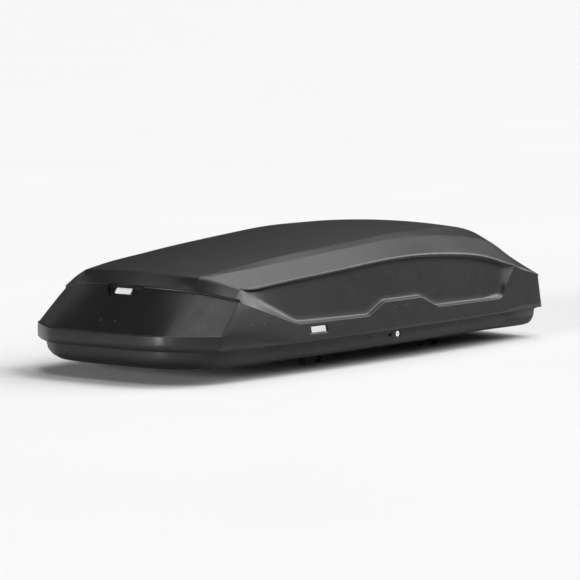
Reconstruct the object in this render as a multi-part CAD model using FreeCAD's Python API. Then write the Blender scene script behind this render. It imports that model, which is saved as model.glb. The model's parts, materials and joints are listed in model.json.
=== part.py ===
import FreeCAD, Part
import math
import os

# Roof cargo box, millimetres, +Z up.
# The origin is on the centreline, at mid length, in the plane of the underside pad
# that rests on the roof bars.  The nose points to -Y and the tail to +Y.
# The vehicle's right side is -X and its left side is +X.

V = FreeCAD.Vector

# ---------------------------------------------------------------- driving dimensions
SKIRT_Z = 64.0            # lower edge of the lid skirt
WALL = 4.0                # moulded wall thickness of lid and base
LEDGE_Z = 110.0           # thin ledge above the rear skirt
TOP_Z = 420.0             # height above everything, for cutting bodies

AXIS_X = 358.0            # opening axes, one along each long side
AXIS_Z = 76.0
UNIT_Y = (650.0, -48.0, -768.0)   # centres of the three latch-hinge units of a side
STRIKER_Z = 98.0          # centre of the striker bars above the opening axis
PIN_R = 4.0
BRACKET_HALF = 38.0       # half length of a bracket foot
CHEEK_STEP = 33.5         # bracket cheeks either side of the unit centre
RUN_GAP = 0.05            # radial running clearance of every turning fit

RIVET_Z = 132.0           # height of the side rivet pairs
RIVET_HALF_STEP = 30.0
RIVET_R = 2.0

BASE_INSET = 32.0         # base wall inside the skirt outline
RIM_INSET = 20.0          # outer edge of the base rim
RIM_INNER = 92.0          # inner edge of the base rim
RIM_Z = 60.0              # underside of the rim
RIM_TOP = 64.0
FLOOR_Z = 4.0             # underside of the floor beside the pad
PAD_HALF_X = 190.0
PAD_HALF_Y = 700.0

LOCK_Y = -37.5            # centre of the lock housing
LOCK_Z = 43.0
LOCK_TRAVEL = 20.0
KEY_Y = -60.0
KEY_R = 9.0

CLAMP_X = 250.0           # centre lines of the four bar clamps
CLAMP_Y = {"rear": 220.0, "front": -420.0}
CLAMP_TRAVEL = 100.0      # travel each way along the floor slot
JAW_Y = 48.0              # jaw pivots either side of the clamp centre
JAW_Z = -8.0

# Cross-sections of the lid from tail to nose.  Each row holds the station y, the
# half-width of the skirt at SKIRT_Z, then the half-width and height of the side
# ridge, of the shoulder crease and of the roof edge, and last the rise of the crown.
LID_SECTIONS = (
    (980.0, 335.0, 291.0, 205.0, 232.0, 238.0, 218.0, 244.0, 11.0),
    (860.0, 355.0, 307.6, 222.0, 236.0, 256.0, 222.0, 262.0, 11.0),
    (748.0, 374.0, 325.6, 234.0, 240.0, 272.0, 226.0, 277.0, 11.0),
    (600.0, 390.0, 341.0, 244.5, 262.0, 288.0, 231.0, 296.0, 11.0),
    (400.0, 405.0, 358.0, 258.5, 280.0, 303.0, 239.0, 318.0, 11.0),
    (200.0, 415.0, 370.0, 272.5, 292.0, 318.0, 247.0, 334.0, 11.0),
    (0.0, 420.0, 375.6, 286.0, 299.0, 332.0, 254.0, 346.0, 12.0),
    (-200.0, 422.0, 377.0, 288.5, 302.0, 340.0, 257.0, 354.0, 12.0),
    (-400.0, 420.0, 377.5, 277.5, 302.0, 335.0, 248.0, 352.0, 11.0),
    (-600.0, 416.0, 380.5, 250.5, 300.0, 312.0, 232.0, 342.0, 10.0),
    (-740.0, 411.0, 383.0, 212.0, 300.0, 276.0, 226.0, 314.0, 9.0),
    (-820.0, 407.0, 384.5, 188.0, 300.0, 247.0, 226.0, 283.0, 8.0),
    (-895.0, 402.0, 385.5, 160.0, 300.0, 212.0, 226.0, 238.0, 6.0),
    (-980.0, 396.0, 386.0, 122.0, 300.0, 162.0, 226.0, 180.0, 4.0),
)

# End profiles of the lid across its width.  Each row holds the distance from the
# centreline, the tail of the skirt, the lip of the rear panel (y, z), the rear edge
# of the roof (y, z) and the nose.
LID_ENDS = (
    (0.0, 947.0, 833.0, 238.0, 755.0, 288.0, -945.0),
    (120.0, 944.0, 818.0, 235.0, 754.0, 285.0, -941.0),
    (221.0, 931.0, 778.0, 228.0, 749.0, 277.0, -930.0),
    (251.0, 914.0, 758.0, 223.0, 733.0, 267.0, -925.0),
    (299.0, 877.0, 721.0, 212.0, 704.0, 250.0, -914.0),
    (363.0, 812.0, 670.0, 198.0, 664.0, 228.0, -893.0),
    (460.0, 709.0, 594.0, 176.0, 604.0, 193.0, -858.0),
)

# Side view of the hollow panel in each flank: upper edge, then lower edge (y, z).
HOLLOW_TOP = (
    (704.0, 232.0), (620.0, 239.0), (400.0, 254.0), (200.0, 268.5), (60.0, 280.0),
    (-100.0, 285.0), (-240.0, 283.0), (-435.0, 269.0), (-585.0, 249.0),
    (-690.0, 225.0), (-735.0, 210.0),
)
HOLLOW_LOW = (
    (-648.0, 112.0), (-257.0, 115.0), (-170.0, 153.0), (30.0, 153.0), (119.0, 114.0),
    (457.0, 119.0), (556.0, 151.0), (647.0, 186.0), (704.0, 206.0),
)

# Half plan of the skirt: flank points from tail corner to nose corner, then the bow
# of the nose and the tail, both from the corner to the centreline.
PLAN_FLANK = (
    (363.0, 812.0), (380.0, 700.0), (394.0, 550.0), (405.0, 400.0), (415.0, 200.0),
    (420.0, 0.0), (422.0, -200.0), (420.0, -400.0), (416.0, -600.0), (408.0, -800.0),
    (403.0, -879.0),
)
PLAN_NOSE = ((299.0, -914.0), (160.0, -938.0), (0.0, -945.0))
PLAN_TAIL = ((299.0, 877.0), (251.0, 914.0), (221.0, 931.0), (120.0, 944.0), (0.0, 947.0))


# ---------------------------------------------------------------- small helpers
def block(x0, x1, y0, y1, z0, z1):
    """A plain box between two corners, given in any order along x."""
    low_x = min(x0, x1)
    return Part.makeBox(abs(x1 - x0), y1 - y0, z1 - z0, V(low_x, y0, z0))


def rod_y(x, y0, y1, z, radius):
    """A round bar along Y."""
    return Part.makeCylinder(radius, y1 - y0, V(x, y0, z), V(0, 1, 0))


def rod_x(x0, x1, y, z, radius):
    """A round bar along X."""
    return Part.makeCylinder(radius, abs(x1 - x0), V(min(x0, x1), y, z), V(1, 0, 0))


def rod_z(x, y, z0, z1, radius):
    """A round bar along Z."""
    return Part.makeCylinder(radius, z1 - z0, V(x, y, z0), V(0, 0, 1))


def fused(shapes):
    """One solid from touching or overlapping shapes."""
    result = shapes[0]
    for shape in shapes[1:]:
        result = result.fuse(shape)
    return result.removeSplitter()


def without(body, tools):
    """The body with every tool cut away."""
    for tool in tools:
        body = body.cut(tool)
    return body


def polygon(points):
    return Part.makePolygon(list(points) + [points[0]])


def plate_xz(points, y0, y1):
    """A flat plate whose outline is given in x and z and whose thickness is along Y."""
    face = Part.Face(polygon([V(x, y0, z) for x, z in points]))
    return face.extrude(V(0, y1 - y0, 0))


def plate_yz(points, x0, x1):
    """A flat plate whose outline is given in y and z and whose thickness is along X."""
    face = Part.Face(polygon([V(x0, y, z) for y, z in points]))
    return face.extrude(V(x1 - x0, 0, 0))


def other_side(shape):
    """The mirror image across the centre plane."""
    return shape.mirror(V(0, 0, 0), V(1, 0, 0))


# ---------------------------------------------------------------- lid surfaces
def lid_section(row, inset):
    """Closed cross-section of the lid, moved inwards by the inset."""
    y, skirt, ridge_h, ridge_z, crease_h, crease_z, roof_h, roof_z, crown = row
    lean = (skirt - ridge_h) / (ridge_z - SKIRT_Z)
    low_z = SKIRT_Z - 24.0
    right = [
        V(skirt + lean * (SKIRT_Z - low_z) - inset, y, low_z),
        V(ridge_h - inset, y, ridge_z - 0.5 * inset),
        V(crease_h - 0.5 * inset, y, crease_z - 0.9 * inset),
        V(roof_h, y, roof_z - inset),
    ]
    left = [V(-p.x, p.y, p.z) for p in reversed(right)]
    middle = V(0, y, roof_z + crown - inset)
    edges = [Part.makeLine(a, b) for a, b in zip(right, right[1:])]
    edges.append(Part.Arc(right[-1], middle, left[0]).toShape())
    edges += [Part.makeLine(a, b) for a, b in zip(left, left[1:])]
    edges.append(Part.makeLine(left[-1], right[0]))
    return Part.Wire(edges)


def lid_ends(inset):
    """Body bounded by the tail panel, the visor above it and the nose."""
    bottom = SKIRT_Z if inset == 0 else SKIRT_Z - 24.0
    wires = []
    mirrored = [(-row[0],) + row[1:] for row in reversed(LID_ENDS[1:])]
    for x, tail_y, lip_y, lip_z, roof_y, roof_z, nose_y in mirrored + list(LID_ENDS):
        slope = (lip_y - roof_y) / (roof_z - lip_z)
        profile = (
            (nose_y + inset, bottom),
            (nose_y + 8.0 + inset, 165.0),
            (nose_y + 40.0 + inset, 300.0),
            (nose_y + 60.0 + inset, TOP_Z),
            (roof_y - slope * (TOP_Z - roof_z) - inset, TOP_Z),
            (lip_y + 3.0 - inset, lip_z + 5.0 - 0.6 * inset),
            (lip_y - inset, lip_z - 0.6 * inset),
            (tail_y - 8.0 - inset, LEDGE_Z - 0.3 * inset),
            (tail_y - inset, LEDGE_Z - 0.3 * inset - 0.5),
            (tail_y - inset, bottom),
        )
        wires.append(polygon([V(x, y, z) for y, z in profile]))
    return Part.makeLoft(wires, True, True)


def hollow_depth(y):
    """Depth of the flank hollow: even along the box, deeper towards the tail."""
    t = min(max((y - 380.0) / 320.0, 0.0), 1.0)
    return 12.0 + 18.0 * t * t * (3.0 - 2.0 * t)


def hollow_floor(inset):
    """Body whose flanks are the floors of the two flank hollows."""
    wires = []
    for row in LID_SECTIONS:
        y, skirt, ridge_h, ridge_z = row[:4]
        lean = (skirt - ridge_h) / (ridge_z - SKIRT_Z)
        depth = hollow_depth(y) + inset
        low = skirt - depth + lean * SKIRT_Z
        high = skirt - depth - lean * (TOP_Z - SKIRT_Z)
        wires.append(polygon([
            V(low, y, 0), V(high, y, TOP_Z), V(-high, y, TOP_Z), V(-low, y, 0),
        ]))
    return Part.makeLoft(wires, True, False)


def hollow_tool(inset):
    """Everything cut away to sink the flank hollows."""
    grow = inset
    upper = [(y, z + 0.5 * grow) for y, z in HOLLOW_TOP]
    lower = [(y, z - grow) for y, z in HOLLOW_LOW]
    upper[0] = (upper[0][0] + grow, upper[0][1])
    lower[-1] = (lower[-1][0] + grow, lower[-1][1])
    upper[-1] = (upper[-1][0] - grow, upper[-1][1])
    lower[0] = (lower[0][0] - grow, lower[0][1])
    return plate_yz(upper + lower, -500.0, 500.0).cut(hollow_floor(inset))


def lid_body(inset):
    """Solid lid volume, moved inwards by the inset."""
    loft = Part.makeLoft([lid_section(row, inset) for row in LID_SECTIONS], True, False)
    return loft.common(lid_ends(inset)).cut(hollow_tool(inset))


def flank_x(body, y, z):
    """Half-width of a lid body at one place of its flank."""
    ray = Part.makeLine(V(150, y, z), V(600, y, z))
    inside = body.common(ray)
    return max(vertex.X for vertex in inside.Vertexes)


def flank_frame(body, y, z):
    """Placement on the +X flank: local x along the box, local z outwards."""
    step = 12.0
    along = V(flank_x(body, y + step, z) - flank_x(body, y - step, z), 2 * step, 0)
    rising = V(flank_x(body, y, z + step) - flank_x(body, y, z - step), 0, 2 * step)
    return frame_at(V(flank_x(body, y, z), y, z), along, rising)


def frame_at(origin, along, rising):
    """Placement from an origin and two directions in the surface."""
    local_x = V(along).normalize()
    local_z = local_x.cross(rising).normalize()
    local_y = local_z.cross(local_x)
    turn = FreeCAD.Matrix(
        local_x.x, local_y.x, local_z.x, origin.x,
        local_x.y, local_y.y, local_z.y, origin.y,
        local_x.z, local_y.z, local_z.z, origin.z,
        0, 0, 0, 1,
    )
    return FreeCAD.Placement(turn)


def placed(shape, placement):
    copy = shape.copy()
    copy.Placement = placement.multiply(copy.Placement)
    return copy


def tail_frame(z):
    """Placement on the tail panel at the centreline: local z outwards."""
    lip_y = LID_ENDS[0][2]
    lip_z = LID_ENDS[0][3]
    foot_y = LID_ENDS[0][1] - 8.0
    share = (z - LEDGE_Z) / (lip_z - LEDGE_Z)
    y = foot_y + share * (lip_y - foot_y)
    return frame_at(V(0, y, z), V(-1, 0, 0), V(0, lip_y - foot_y, lip_z - LEDGE_Z))


# ---------------------------------------------------------------- lid pieces
TAIL_BADGE_Z = 226.0
TAIL_RIVET_Z = 144.0
TAIL_RIVET_X = 28.0
SIDE_BADGE_Y = 373.0
SIDE_BADGE_Z = 97.0
PLATE_GAP = 0.5           # striker plates clear the moulded wall by this much
PLATE_T = 2.5


def rivet_shape(depth):
    """Domed rivet: head above the surface, shank down into it."""
    ball = Part.makeSphere(6.5, V(0, 0, -4.6))
    head = ball.common(Part.makeCylinder(6.5, 5.0, V(0, 0, 0)))
    shank = Part.makeCylinder(RIVET_R, depth, V(0, 0, -depth))
    return head.fuse(shank)


def rivet_places(outer):
    """Placements of the rivets of the +X flank."""
    return [
        flank_frame(outer, unit + side * RIVET_HALF_STEP, RIVET_Z)
        for unit in UNIT_Y for side in (-1, 1)
    ]


def tail_rivet_places():
    frame = tail_frame(TAIL_RIVET_Z)
    return [
        frame.multiply(FreeCAD.Placement(V(x, 0, 0), FreeCAD.Rotation()))
        for x in (-TAIL_RIVET_X, TAIL_RIVET_X)
    ]


def side_badge(outer, grow, depth, lift):
    """Blank name plate of the +X flank, or its pocket."""
    frame = flank_frame(outer, SIDE_BADGE_Y, SIDE_BADGE_Z)
    half_x = 37.0 + grow
    half_y = 9.0 + grow
    body = block(-half_x, half_x, -half_y, half_y, -depth, lift)
    return placed(body, frame)


def tail_badge(grow, low, high):
    """Blank name plate of the tail panel, or the room for it."""
    half_x = 31.0 + grow
    half_y = 10.5 + grow
    return placed(block(-half_x, half_x, -half_y, half_y, low, high), tail_frame(TAIL_BADGE_Z))


def tail_notch():
    """Trapezoid grip notch under the lip of the tail panel."""
    outline = [V(-73, 14, -5), V(73, 14, -5), V(47, -17, -5), V(-47, -17, -5)]
    return placed(Part.Face(polygon(outline)).extrude(V(0, 0, 40)), tail_frame(TAIL_BADGE_Z))


def make_lid_shell(outer, inner):
    rivet_holes = [placed(Part.makeCylinder(RIVET_R + RUN_GAP, 30, V(0, 0, -20)), place)
                   for place in rivet_places(outer)]
    rivet_holes += [other_side(hole) for hole in rivet_holes]
    rivet_holes += [placed(Part.makeCylinder(RIVET_R + RUN_GAP, 30, V(0, 0, -20)), place)
                    for place in tail_rivet_places()]
    pocket = side_badge(outer, 4.0, 1.6, 20.0)
    hollowed_inner = inner.cut(notch_backing())
    return without(
        outer, [hollowed_inner, tail_notch(), pocket, other_side(pocket)] + rivet_holes)


def notch_backing():
    """Extra material kept behind the grip notch so that its floor stays closed."""
    outline = [V(-82, 22, -10), V(82, 22, -10), V(54, -25, -10), V(-54, -25, -10)]
    return placed(Part.Face(polygon(outline)).extrude(V(0, 0, 30)), tail_frame(TAIL_BADGE_Z))


def make_lid_rivets(outer):
    flank = [placed(rivet_shape(8.0), place) for place in rivet_places(outer)]
    tail = [placed(rivet_shape(9.0), place) for place in tail_rivet_places()]
    return Part.makeCompound(flank + [other_side(rivet) for rivet in flank] + tail)


def striker(inner, unit_y, rivet_drills):
    """Striker of one unit of the +X side: wall plate, two arms and the bar."""
    half = 38.0
    low_z, high_z = 112.0, 146.0
    middle = 0.5 * (low_z + high_z)
    plate = block(-half, half, low_z - middle, high_z - middle, -PLATE_GAP - PLATE_T, -PLATE_GAP)
    pieces = [placed(plate, flank_frame(inner, unit_y, middle))]
    for side in (-1, 1):
        y0 = unit_y + side * 24.0 - 2.0
        y1 = y0 + 4.0
        edge = PLATE_GAP + 0.5 * PLATE_T
        foot = min(flank_x(inner, y, z) for y in (y0, y1) for z in (low_z,)) - edge
        head = min(flank_x(inner, y, high_z - 2.0) for y in (y0, y1)) - edge
        toe = min(min(flank_x(inner, y, 92.0) for y in (y0, y1)) - 4.0, 376.0)
        outline = ((354.0, 94.0), (toe, 94.0), (foot, low_z), (head, high_z - 2.0),
                   (head - 5.0, high_z - 2.0), (foot - 5.5, low_z), (360.0, 108.0),
                   (360.0, 102.0), (354.0, 102.0))
        pieces.append(plate_xz(outline, y0, y1))
    pieces.append(rod_y(AXIS_X, unit_y - 29.0, unit_y + 29.0, STRIKER_Z, 4.0))
    return without(fused(pieces), rivet_drills)


def make_strikers(outer, inner):
    drills = [placed(Part.makeCylinder(RIVET_R + 0.3, 16, V(0, 0, -16)), place)
              for place in rivet_places(outer)]
    return Part.makeCompound([striker(inner, unit_y, drills) for unit_y in UNIT_Y])


def make_lid_stiffener(inner):
    """Reinforcing strips along the inside of the +X flank, below the hollow."""
    solids = []
    for start, step in ((130.0, 107.5), (-600.0, 80.0)):
        wires = []
        for k in range(5):
            y = start + k * step
            foot = flank_x(inner, y, 84.0) - PLATE_GAP
            knee = flank_x(inner, y, 101.0) - PLATE_GAP
            head = flank_x(inner, y, 104.0) - PLATE_GAP
            wires.append(polygon([V(foot, y, 84.0), V(head, y, 104.0),
                                  V(head - 9.0, y, 104.0), V(head - 9.0, y, 101.0),
                                  V(knee - 3.0, y, 101.0), V(foot - 3.0, y, 84.0)]))
        solids.append(Part.makeLoft(wires, True, True))
    return Part.makeCompound(solids)


def make_tail_guide():
    """Centring tongue riveted behind the tail panel; it drops inside the base rim."""
    frame = tail_frame(TAIL_RIVET_Z)
    plate = block(-42, 42, -12, 12, -9.4, -6.4)
    holes = [Part.makeCylinder(RIVET_R + 0.3, 12, V(x, 0, -12))
             for x in (-TAIL_RIVET_X, TAIL_RIVET_X)]
    return placed(without(plate, holes), frame)


# ---------------------------------------------------------------- base
def plan_wire(inset, z):
    """Plan outline of the skirt moved inwards and placed at one height."""
    left_flank = [(-x, y) for x, y in reversed(PLAN_FLANK)]
    nose = list(PLAN_NOSE) + [(-x, y) for x, y in reversed(PLAN_NOSE[:-1])]
    tail = [(-x, y) for x, y in PLAN_TAIL] + list(reversed(PLAN_TAIL[:-1]))
    loop = list(PLAN_FLANK) + nose + left_flank + tail
    moved = []
    for i, (x, y) in enumerate(loop):
        before = loop[i - 1]
        after = loop[(i + 1) % len(loop)]
        n1 = V(before[1] - y, x - before[0], 0).normalize()
        n2 = V(y - after[1], after[0] - x, 0).normalize()
        share = inset / (1.0 + n1.dot(n2))
        moved.append(V(x - (n1.x + n2.x) * share, y - (n1.y + n2.y) * share, z))
    ends = [0, len(PLAN_FLANK) - 1]
    ends.append(ends[1] + len(nose) + 1)
    ends.append(ends[2] + len(left_flank) - 1)
    edges = []
    for start, stop in zip(ends, ends[1:] + [len(loop)]):
        run = [moved[i % len(loop)] for i in range(start, stop + 1)]
        curve = Part.BSplineCurve()
        curve.interpolate(run)
        edges.append(curve.toShape())
    return Part.Wire(edges)


def plan_slab(inset, z0, z1):
    return Part.Face(plan_wire(inset, z0)).extrude(V(0, 0, z1 - z0))


def floor_slot(x, y):
    """Slot through the floor in which one bar clamp travels."""
    half = CLAMP_TRAVEL + 62.0
    return block(x - 12.0, x + 12.0, y - half, y + half, -2.0, 12.0)


def lock_openings():
    """Window for the lock housing and slot for the lug of its slider, +X side."""
    window = block(366.0, 400.0, LOCK_Y - 37.7, LOCK_Y + 37.7, LOCK_Z - 11.2, LOCK_Z + 11.2)
    slot = block(372.0, 380.0, 16.0, 58.0, RIM_Z - 2.0, RIM_TOP + 2.0)
    return window, slot


def make_base_shell():
    outer = Part.makeLoft(
        [plan_wire(70.0, FLOOR_Z), plan_wire(BASE_INSET, 34.0), plan_wire(BASE_INSET, RIM_Z)],
        True, True)
    inner = Part.makeLoft(
        [plan_wire(74.0, FLOOR_Z + WALL), plan_wire(BASE_INSET + WALL, 37.0),
         plan_wire(BASE_INSET + WALL, RIM_Z + 1.0)],
        True, True)
    rim = plan_slab(RIM_INSET, RIM_Z, RIM_TOP).cut(plan_slab(RIM_INNER, RIM_Z - 1, RIM_TOP + 1))
    pad_low = polygon([V(PAD_HALF_X, -PAD_HALF_Y, 0), V(PAD_HALF_X, PAD_HALF_Y, 0),
                       V(-PAD_HALF_X, PAD_HALF_Y, 0), V(-PAD_HALF_X, -PAD_HALF_Y, 0)])
    edge = PAD_HALF_X + 8.0
    end = PAD_HALF_Y + 8.0
    pad_high = polygon([V(edge, -end, FLOOR_Z + 1), V(edge, end, FLOOR_Z + 1),
                        V(-edge, end, FLOOR_Z + 1), V(-edge, -end, FLOOR_Z + 1)])
    pad = Part.makeLoft([pad_low, pad_high], True, True)
    ribs = [block(x - 8, x + 8, -640, 640, 7.0, 12.0) for x in (-150, 0, 150)]
    body = fused([outer.cut(inner), rim, pad] + ribs)
    tools = [floor_slot(sx * CLAMP_X, y) for sx in (-1, 1) for y in CLAMP_Y.values()]
    for tool in lock_openings():
        tools += [tool, other_side(tool)]
    return without(body, tools)


def make_base_rail():
    """Aluminium channel under the rim of the +X side; it carries the hinge units."""
    body = block(334.0, 350.0, -740.0, 540.0, 46.0, RIM_Z)
    return body.cut(block(337.0, 347.0, -741.0, 541.0, 45.0, RIM_Z - 3.0))


def hinge_bracket(unit_y):
    """Foot with two cheeks; it stays inside the sweep of the hinged lid wall."""
    foot = block(346.0, 364.5, unit_y - BRACKET_HALF, unit_y + BRACKET_HALF,
                 RIM_TOP, RIM_TOP + 3.0)
    pieces = [foot]
    for side in (-1, 1):
        y0 = unit_y + side * CHEEK_STEP - 2.0
        pieces.append(block(351.0, 365.0, y0, y0 + 4.0, RIM_TOP + 2.0, AXIS_Z))
        pieces.append(rod_y(AXIS_X, y0, y0 + 4.0, AXIS_Z, 9.0))
    hole = rod_y(AXIS_X, unit_y - 50.0, unit_y + 50.0, AXIS_Z, PIN_R + 0.02)
    screws = [rod_z(AXIS_X, unit_y + side * 22.0, RIM_TOP - 1, RIM_TOP + 4, 3.0)
              for side in (-1, 1)]
    return without(fused(pieces), [hole] + screws)


def make_hinge_brackets():
    return Part.makeCompound([hinge_bracket(unit_y) for unit_y in UNIT_Y])


def make_hinge_pins():
    half = CHEEK_STEP + 3.0
    return Part.makeCompound(
        [rod_y(AXIS_X, unit_y - half, unit_y + half, AXIS_Z, PIN_R) for unit_y in UNIT_Y])


def make_bracket_screws():
    """Pan-head screws that hold the brackets of the +X side on the rim."""
    screws = []
    for unit_y in UNIT_Y:
        for side in (-1, 1):
            y = unit_y + side * 22.0
            head = Part.makeCone(4.2, 3.2, 2.2, V(AXIS_X, y, RIM_TOP))
            screws.append(head.common(rod_z(AXIS_X, y, RIM_TOP, RIM_TOP + 2.2, 2.9)))
    return Part.makeCompound(screws)


def torsion_spring(unit_y):
    """Lifter spring wound round the pin, between claw and bracket."""
    wire_r = 0.9
    helix = Part.makeHelix(2.3, 17.0, 6.6)
    helix.rotate(V(0, 0, 0), V(1, 0, 0), -90)
    helix.translate(V(AXIS_X, unit_y + 13.0, AXIS_Z))
    start = helix.Edges[0].valueAt(helix.Edges[0].FirstParameter)
    direction = helix.Edges[0].tangentAt(helix.Edges[0].FirstParameter)
    profile = Part.Wire(Part.makeCircle(wire_r, start, direction))
    return Part.Wire(helix.Edges).makePipeShell([profile], True, True)


def make_torsion_springs():
    return Part.makeCompound([torsion_spring(unit_y) for unit_y in UNIT_Y])


def claw(unit_y):
    """Latch claw: a hub on the pin and two forked plates open at the top."""
    pieces = [rod_y(AXIS_X, unit_y - 10.0, unit_y + 10.0, AXIS_Z, 7.5)]
    for side in (-1, 1):
        y0 = unit_y + side * 8.0 - 2.0
        pieces.append(rod_y(AXIS_X, y0, y0 + 4.0, AXIS_Z, 8.4))
        pieces.append(block(349.6, 366.4, y0, y0 + 4.0, AXIS_Z, 106.0))
    body = fused(pieces)
    slot = rod_y(AXIS_X, unit_y - 20.0, unit_y + 20.0, STRIKER_Z, 4.6)
    mouth = block(AXIS_X - 4.6, AXIS_X + 4.6, unit_y - 20.0, unit_y + 20.0, STRIKER_Z, 110.0)
    bore = rod_y(AXIS_X, unit_y - 20.0, unit_y + 20.0, AXIS_Z, PIN_R + RUN_GAP)
    return without(body, [slot, mouth, bore])


def make_claws():
    return Part.makeCompound([claw(unit_y) for unit_y in UNIT_Y])


# ---------------------------------------------------------------- locks
def make_lock_housing():
    """Flush housing in the base wall with the boss of the key cylinder, +X side."""
    plate = block(383.0, 387.0, LOCK_Y - 37.5, LOCK_Y + 37.5, LOCK_Z - 11.0, LOCK_Z + 11.0)
    boss = rod_x(365.2, 384.0, KEY_Y, LOCK_Z, KEY_R + 1.8)
    body = plate.fuse(boss)
    bore = rod_x(360.0, 390.0, KEY_Y, LOCK_Z, KEY_R + RUN_GAP)
    slot = block(380.0, 390.0, -38.0, -8.0, LOCK_Z - 3.5, LOCK_Z + 3.5)
    return without(body, [bore, slot])


def make_key_cylinder():
    """Turning key barrel with its slot and a small tail cam."""
    barrel = rod_x(364.5, 388.0, KEY_Y, LOCK_Z, KEY_R)
    key_slot = block(384.0, 390.0, KEY_Y - 5.0, KEY_Y + 5.0, LOCK_Z - 1.1, LOCK_Z + 1.1)
    cam = block(361.0, 364.6, KEY_Y - 4.0, KEY_Y + 4.0, LOCK_Z - 4.0, LOCK_Z + 14.0)
    return barrel.cut(key_slot).fuse(cam)


def make_lock_slider():
    """Thumb grip, guide plate and the lug that reaches up through the rim."""
    grip = block(387.3, 389.8, -40.0, -26.0, LOCK_Z - 6.0, LOCK_Z + 6.0)
    neck = block(381.0, 388.0, -36.0, -30.0, LOCK_Z - 3.0, LOCK_Z + 3.0)
    guide = block(378.5, 382.0, -40.0, 30.0, LOCK_Z - 6.0, LOCK_Z + 6.0)
    riser = block(374.5, 378.6, 20.0, 30.0, LOCK_Z - 6.0, 71.0)
    strap = block(341.0, 378.6, 20.0, 30.0, 68.0, 71.0)
    return fused([guide, neck, grip, riser, strap])


def make_lock_rail():
    """Flat bar along the rim of the +X side with one hooked finger per unit."""
    pieces = [block(338.0, 341.0, UNIT_Y[2] - 47.0, UNIT_Y[0] - 10.0, 66.0, 76.0)]
    for unit_y in UNIT_Y:
        y0 = unit_y - 39.0
        pieces.append(block(338.0, 341.0, y0, y0 + 6.0, 70.0, 107.5))
        pieces.append(block(338.0, 358.5, y0, y0 + 6.0, 103.5, 107.5))
    return fused(pieces)


# ---------------------------------------------------------------- bar clamps
def clamp_housing(x, y):
    """Saddle on the floor with a keel in the slot and ears for the jaw pivots."""
    pieces = [
        block(x - 34, x + 34, y - 62, y + 62, 8.0, 14.0),
        rod_z(x, y, 13.0, 28.0, 20.0),
        block(x - 11, x + 11, y - 56, y + 56, 1.0, 9.0),
    ]
    for side in (-1, 1):
        for ear in (-8.6, 8.6):
            mid = y + side * JAW_Y
            pieces.append(block(x + ear - 2.1, x + ear + 2.1, mid - 7, mid + 7, -9.0, 2.0))
            pieces.append(rod_x(x + ear - 2.1, x + ear + 2.1, mid, -9.0, 7.0))
    bores = [rod_x(x - 20, x + 20, y + side * JAW_Y, JAW_Z, 3.0 + RUN_GAP) for side in (-1, 1)]
    bores.append(rod_z(x, y, -1.0, 30.0, 6.0 + RUN_GAP))
    return without(fused(pieces), bores)


def clamp_knob(x, y):
    """Lobed hand knob with its spindle."""
    grip = rod_z(x, y, 32.0, 50.0, 29.0)
    scallops = []
    for i in range(6):
        turn = math.radians(60.0 * i + 30.0)
        scallops.append(rod_z(x + 34 * math.cos(turn), y + 34 * math.sin(turn), 30.0, 52.0, 11.0))
    cap = Part.makeCone(20.0, 16.0, 5.0, V(x, y, 50.0))
    collar = rod_z(x, y, 28.3, 33.0, 14.0)
    spindle = rod_z(x, y, 1.5, 29.0, 6.0)
    return fused([without(grip, scallops), cap, collar, spindle])


def clamp_jaw(x, y, side):
    """Hooked jaw that swings under the roof bar; side +1 is the rear jaw."""
    outline = ((6.2, 0.0), (9.0, -14.0), (4.0, -25.0), (-16.0, -28.0), (-18.0, -21.0),
               (-2.0, -18.5), (-6.2, 0.0))
    points = [(y + side * (JAW_Y + dy), JAW_Z + dz) for dy, dz in outline]
    arm = plate_yz(points, x - 6.0, x + 6.0)
    eye = rod_x(x - 6.0, x + 6.0, y + side * JAW_Y, JAW_Z, 6.2)
    pin = rod_x(x - 10.7, x + 10.7, y + side * JAW_Y, JAW_Z, 3.0)
    return fused([arm, eye, pin])


# ---------------------------------------------------------------- load straps
STRAP_Y = {"front": -120.0, "rear": 470.0}
STRAP_HALF_W = 12.5


def load_strap(y):
    """Webbing across the floor, over the three floor ribs, up to its two anchors."""
    low = ((-306.0, 25.0), (-296.0, 12.3), (296.0, 12.3), (306.0, 25.0))
    top = ((306.0, 27.2), (295.0, 13.7), (-295.0, 13.7), (-306.0, 27.2))
    return plate_xz(low + top, y - STRAP_HALF_W, y + STRAP_HALF_W)


def strap_buckle(y):
    """Cam buckle round the webbing at mid width."""
    frame = block(40.0, 92.0, y - 19.0, y + 19.0, 12.2, 22.0)
    passage = block(39.0, 93.0, y - 13.0, y + 13.0, 12.1, 13.9)
    window = block(50.0, 60.0, y - 12.0, y + 12.0, 13.0, 23.0)
    return without(frame, [passage, window])


def strap_anchor(x, y):
    """Anchor block on the floor that holds one end of a strap."""
    sign = 1 if x > 0 else -1
    return block(x, x + sign * 14.0, y - 18.0, y + 18.0, 8.0, 30.0)


def make_strap_buckles():
    return Part.makeCompound([strap_buckle(y) for y in STRAP_Y.values()])


def make_strap_anchors():
    return Part.makeCompound(
        [strap_anchor(sx * 306.5, y) for sx in (-1, 1) for y in STRAP_Y.values()])


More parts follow.
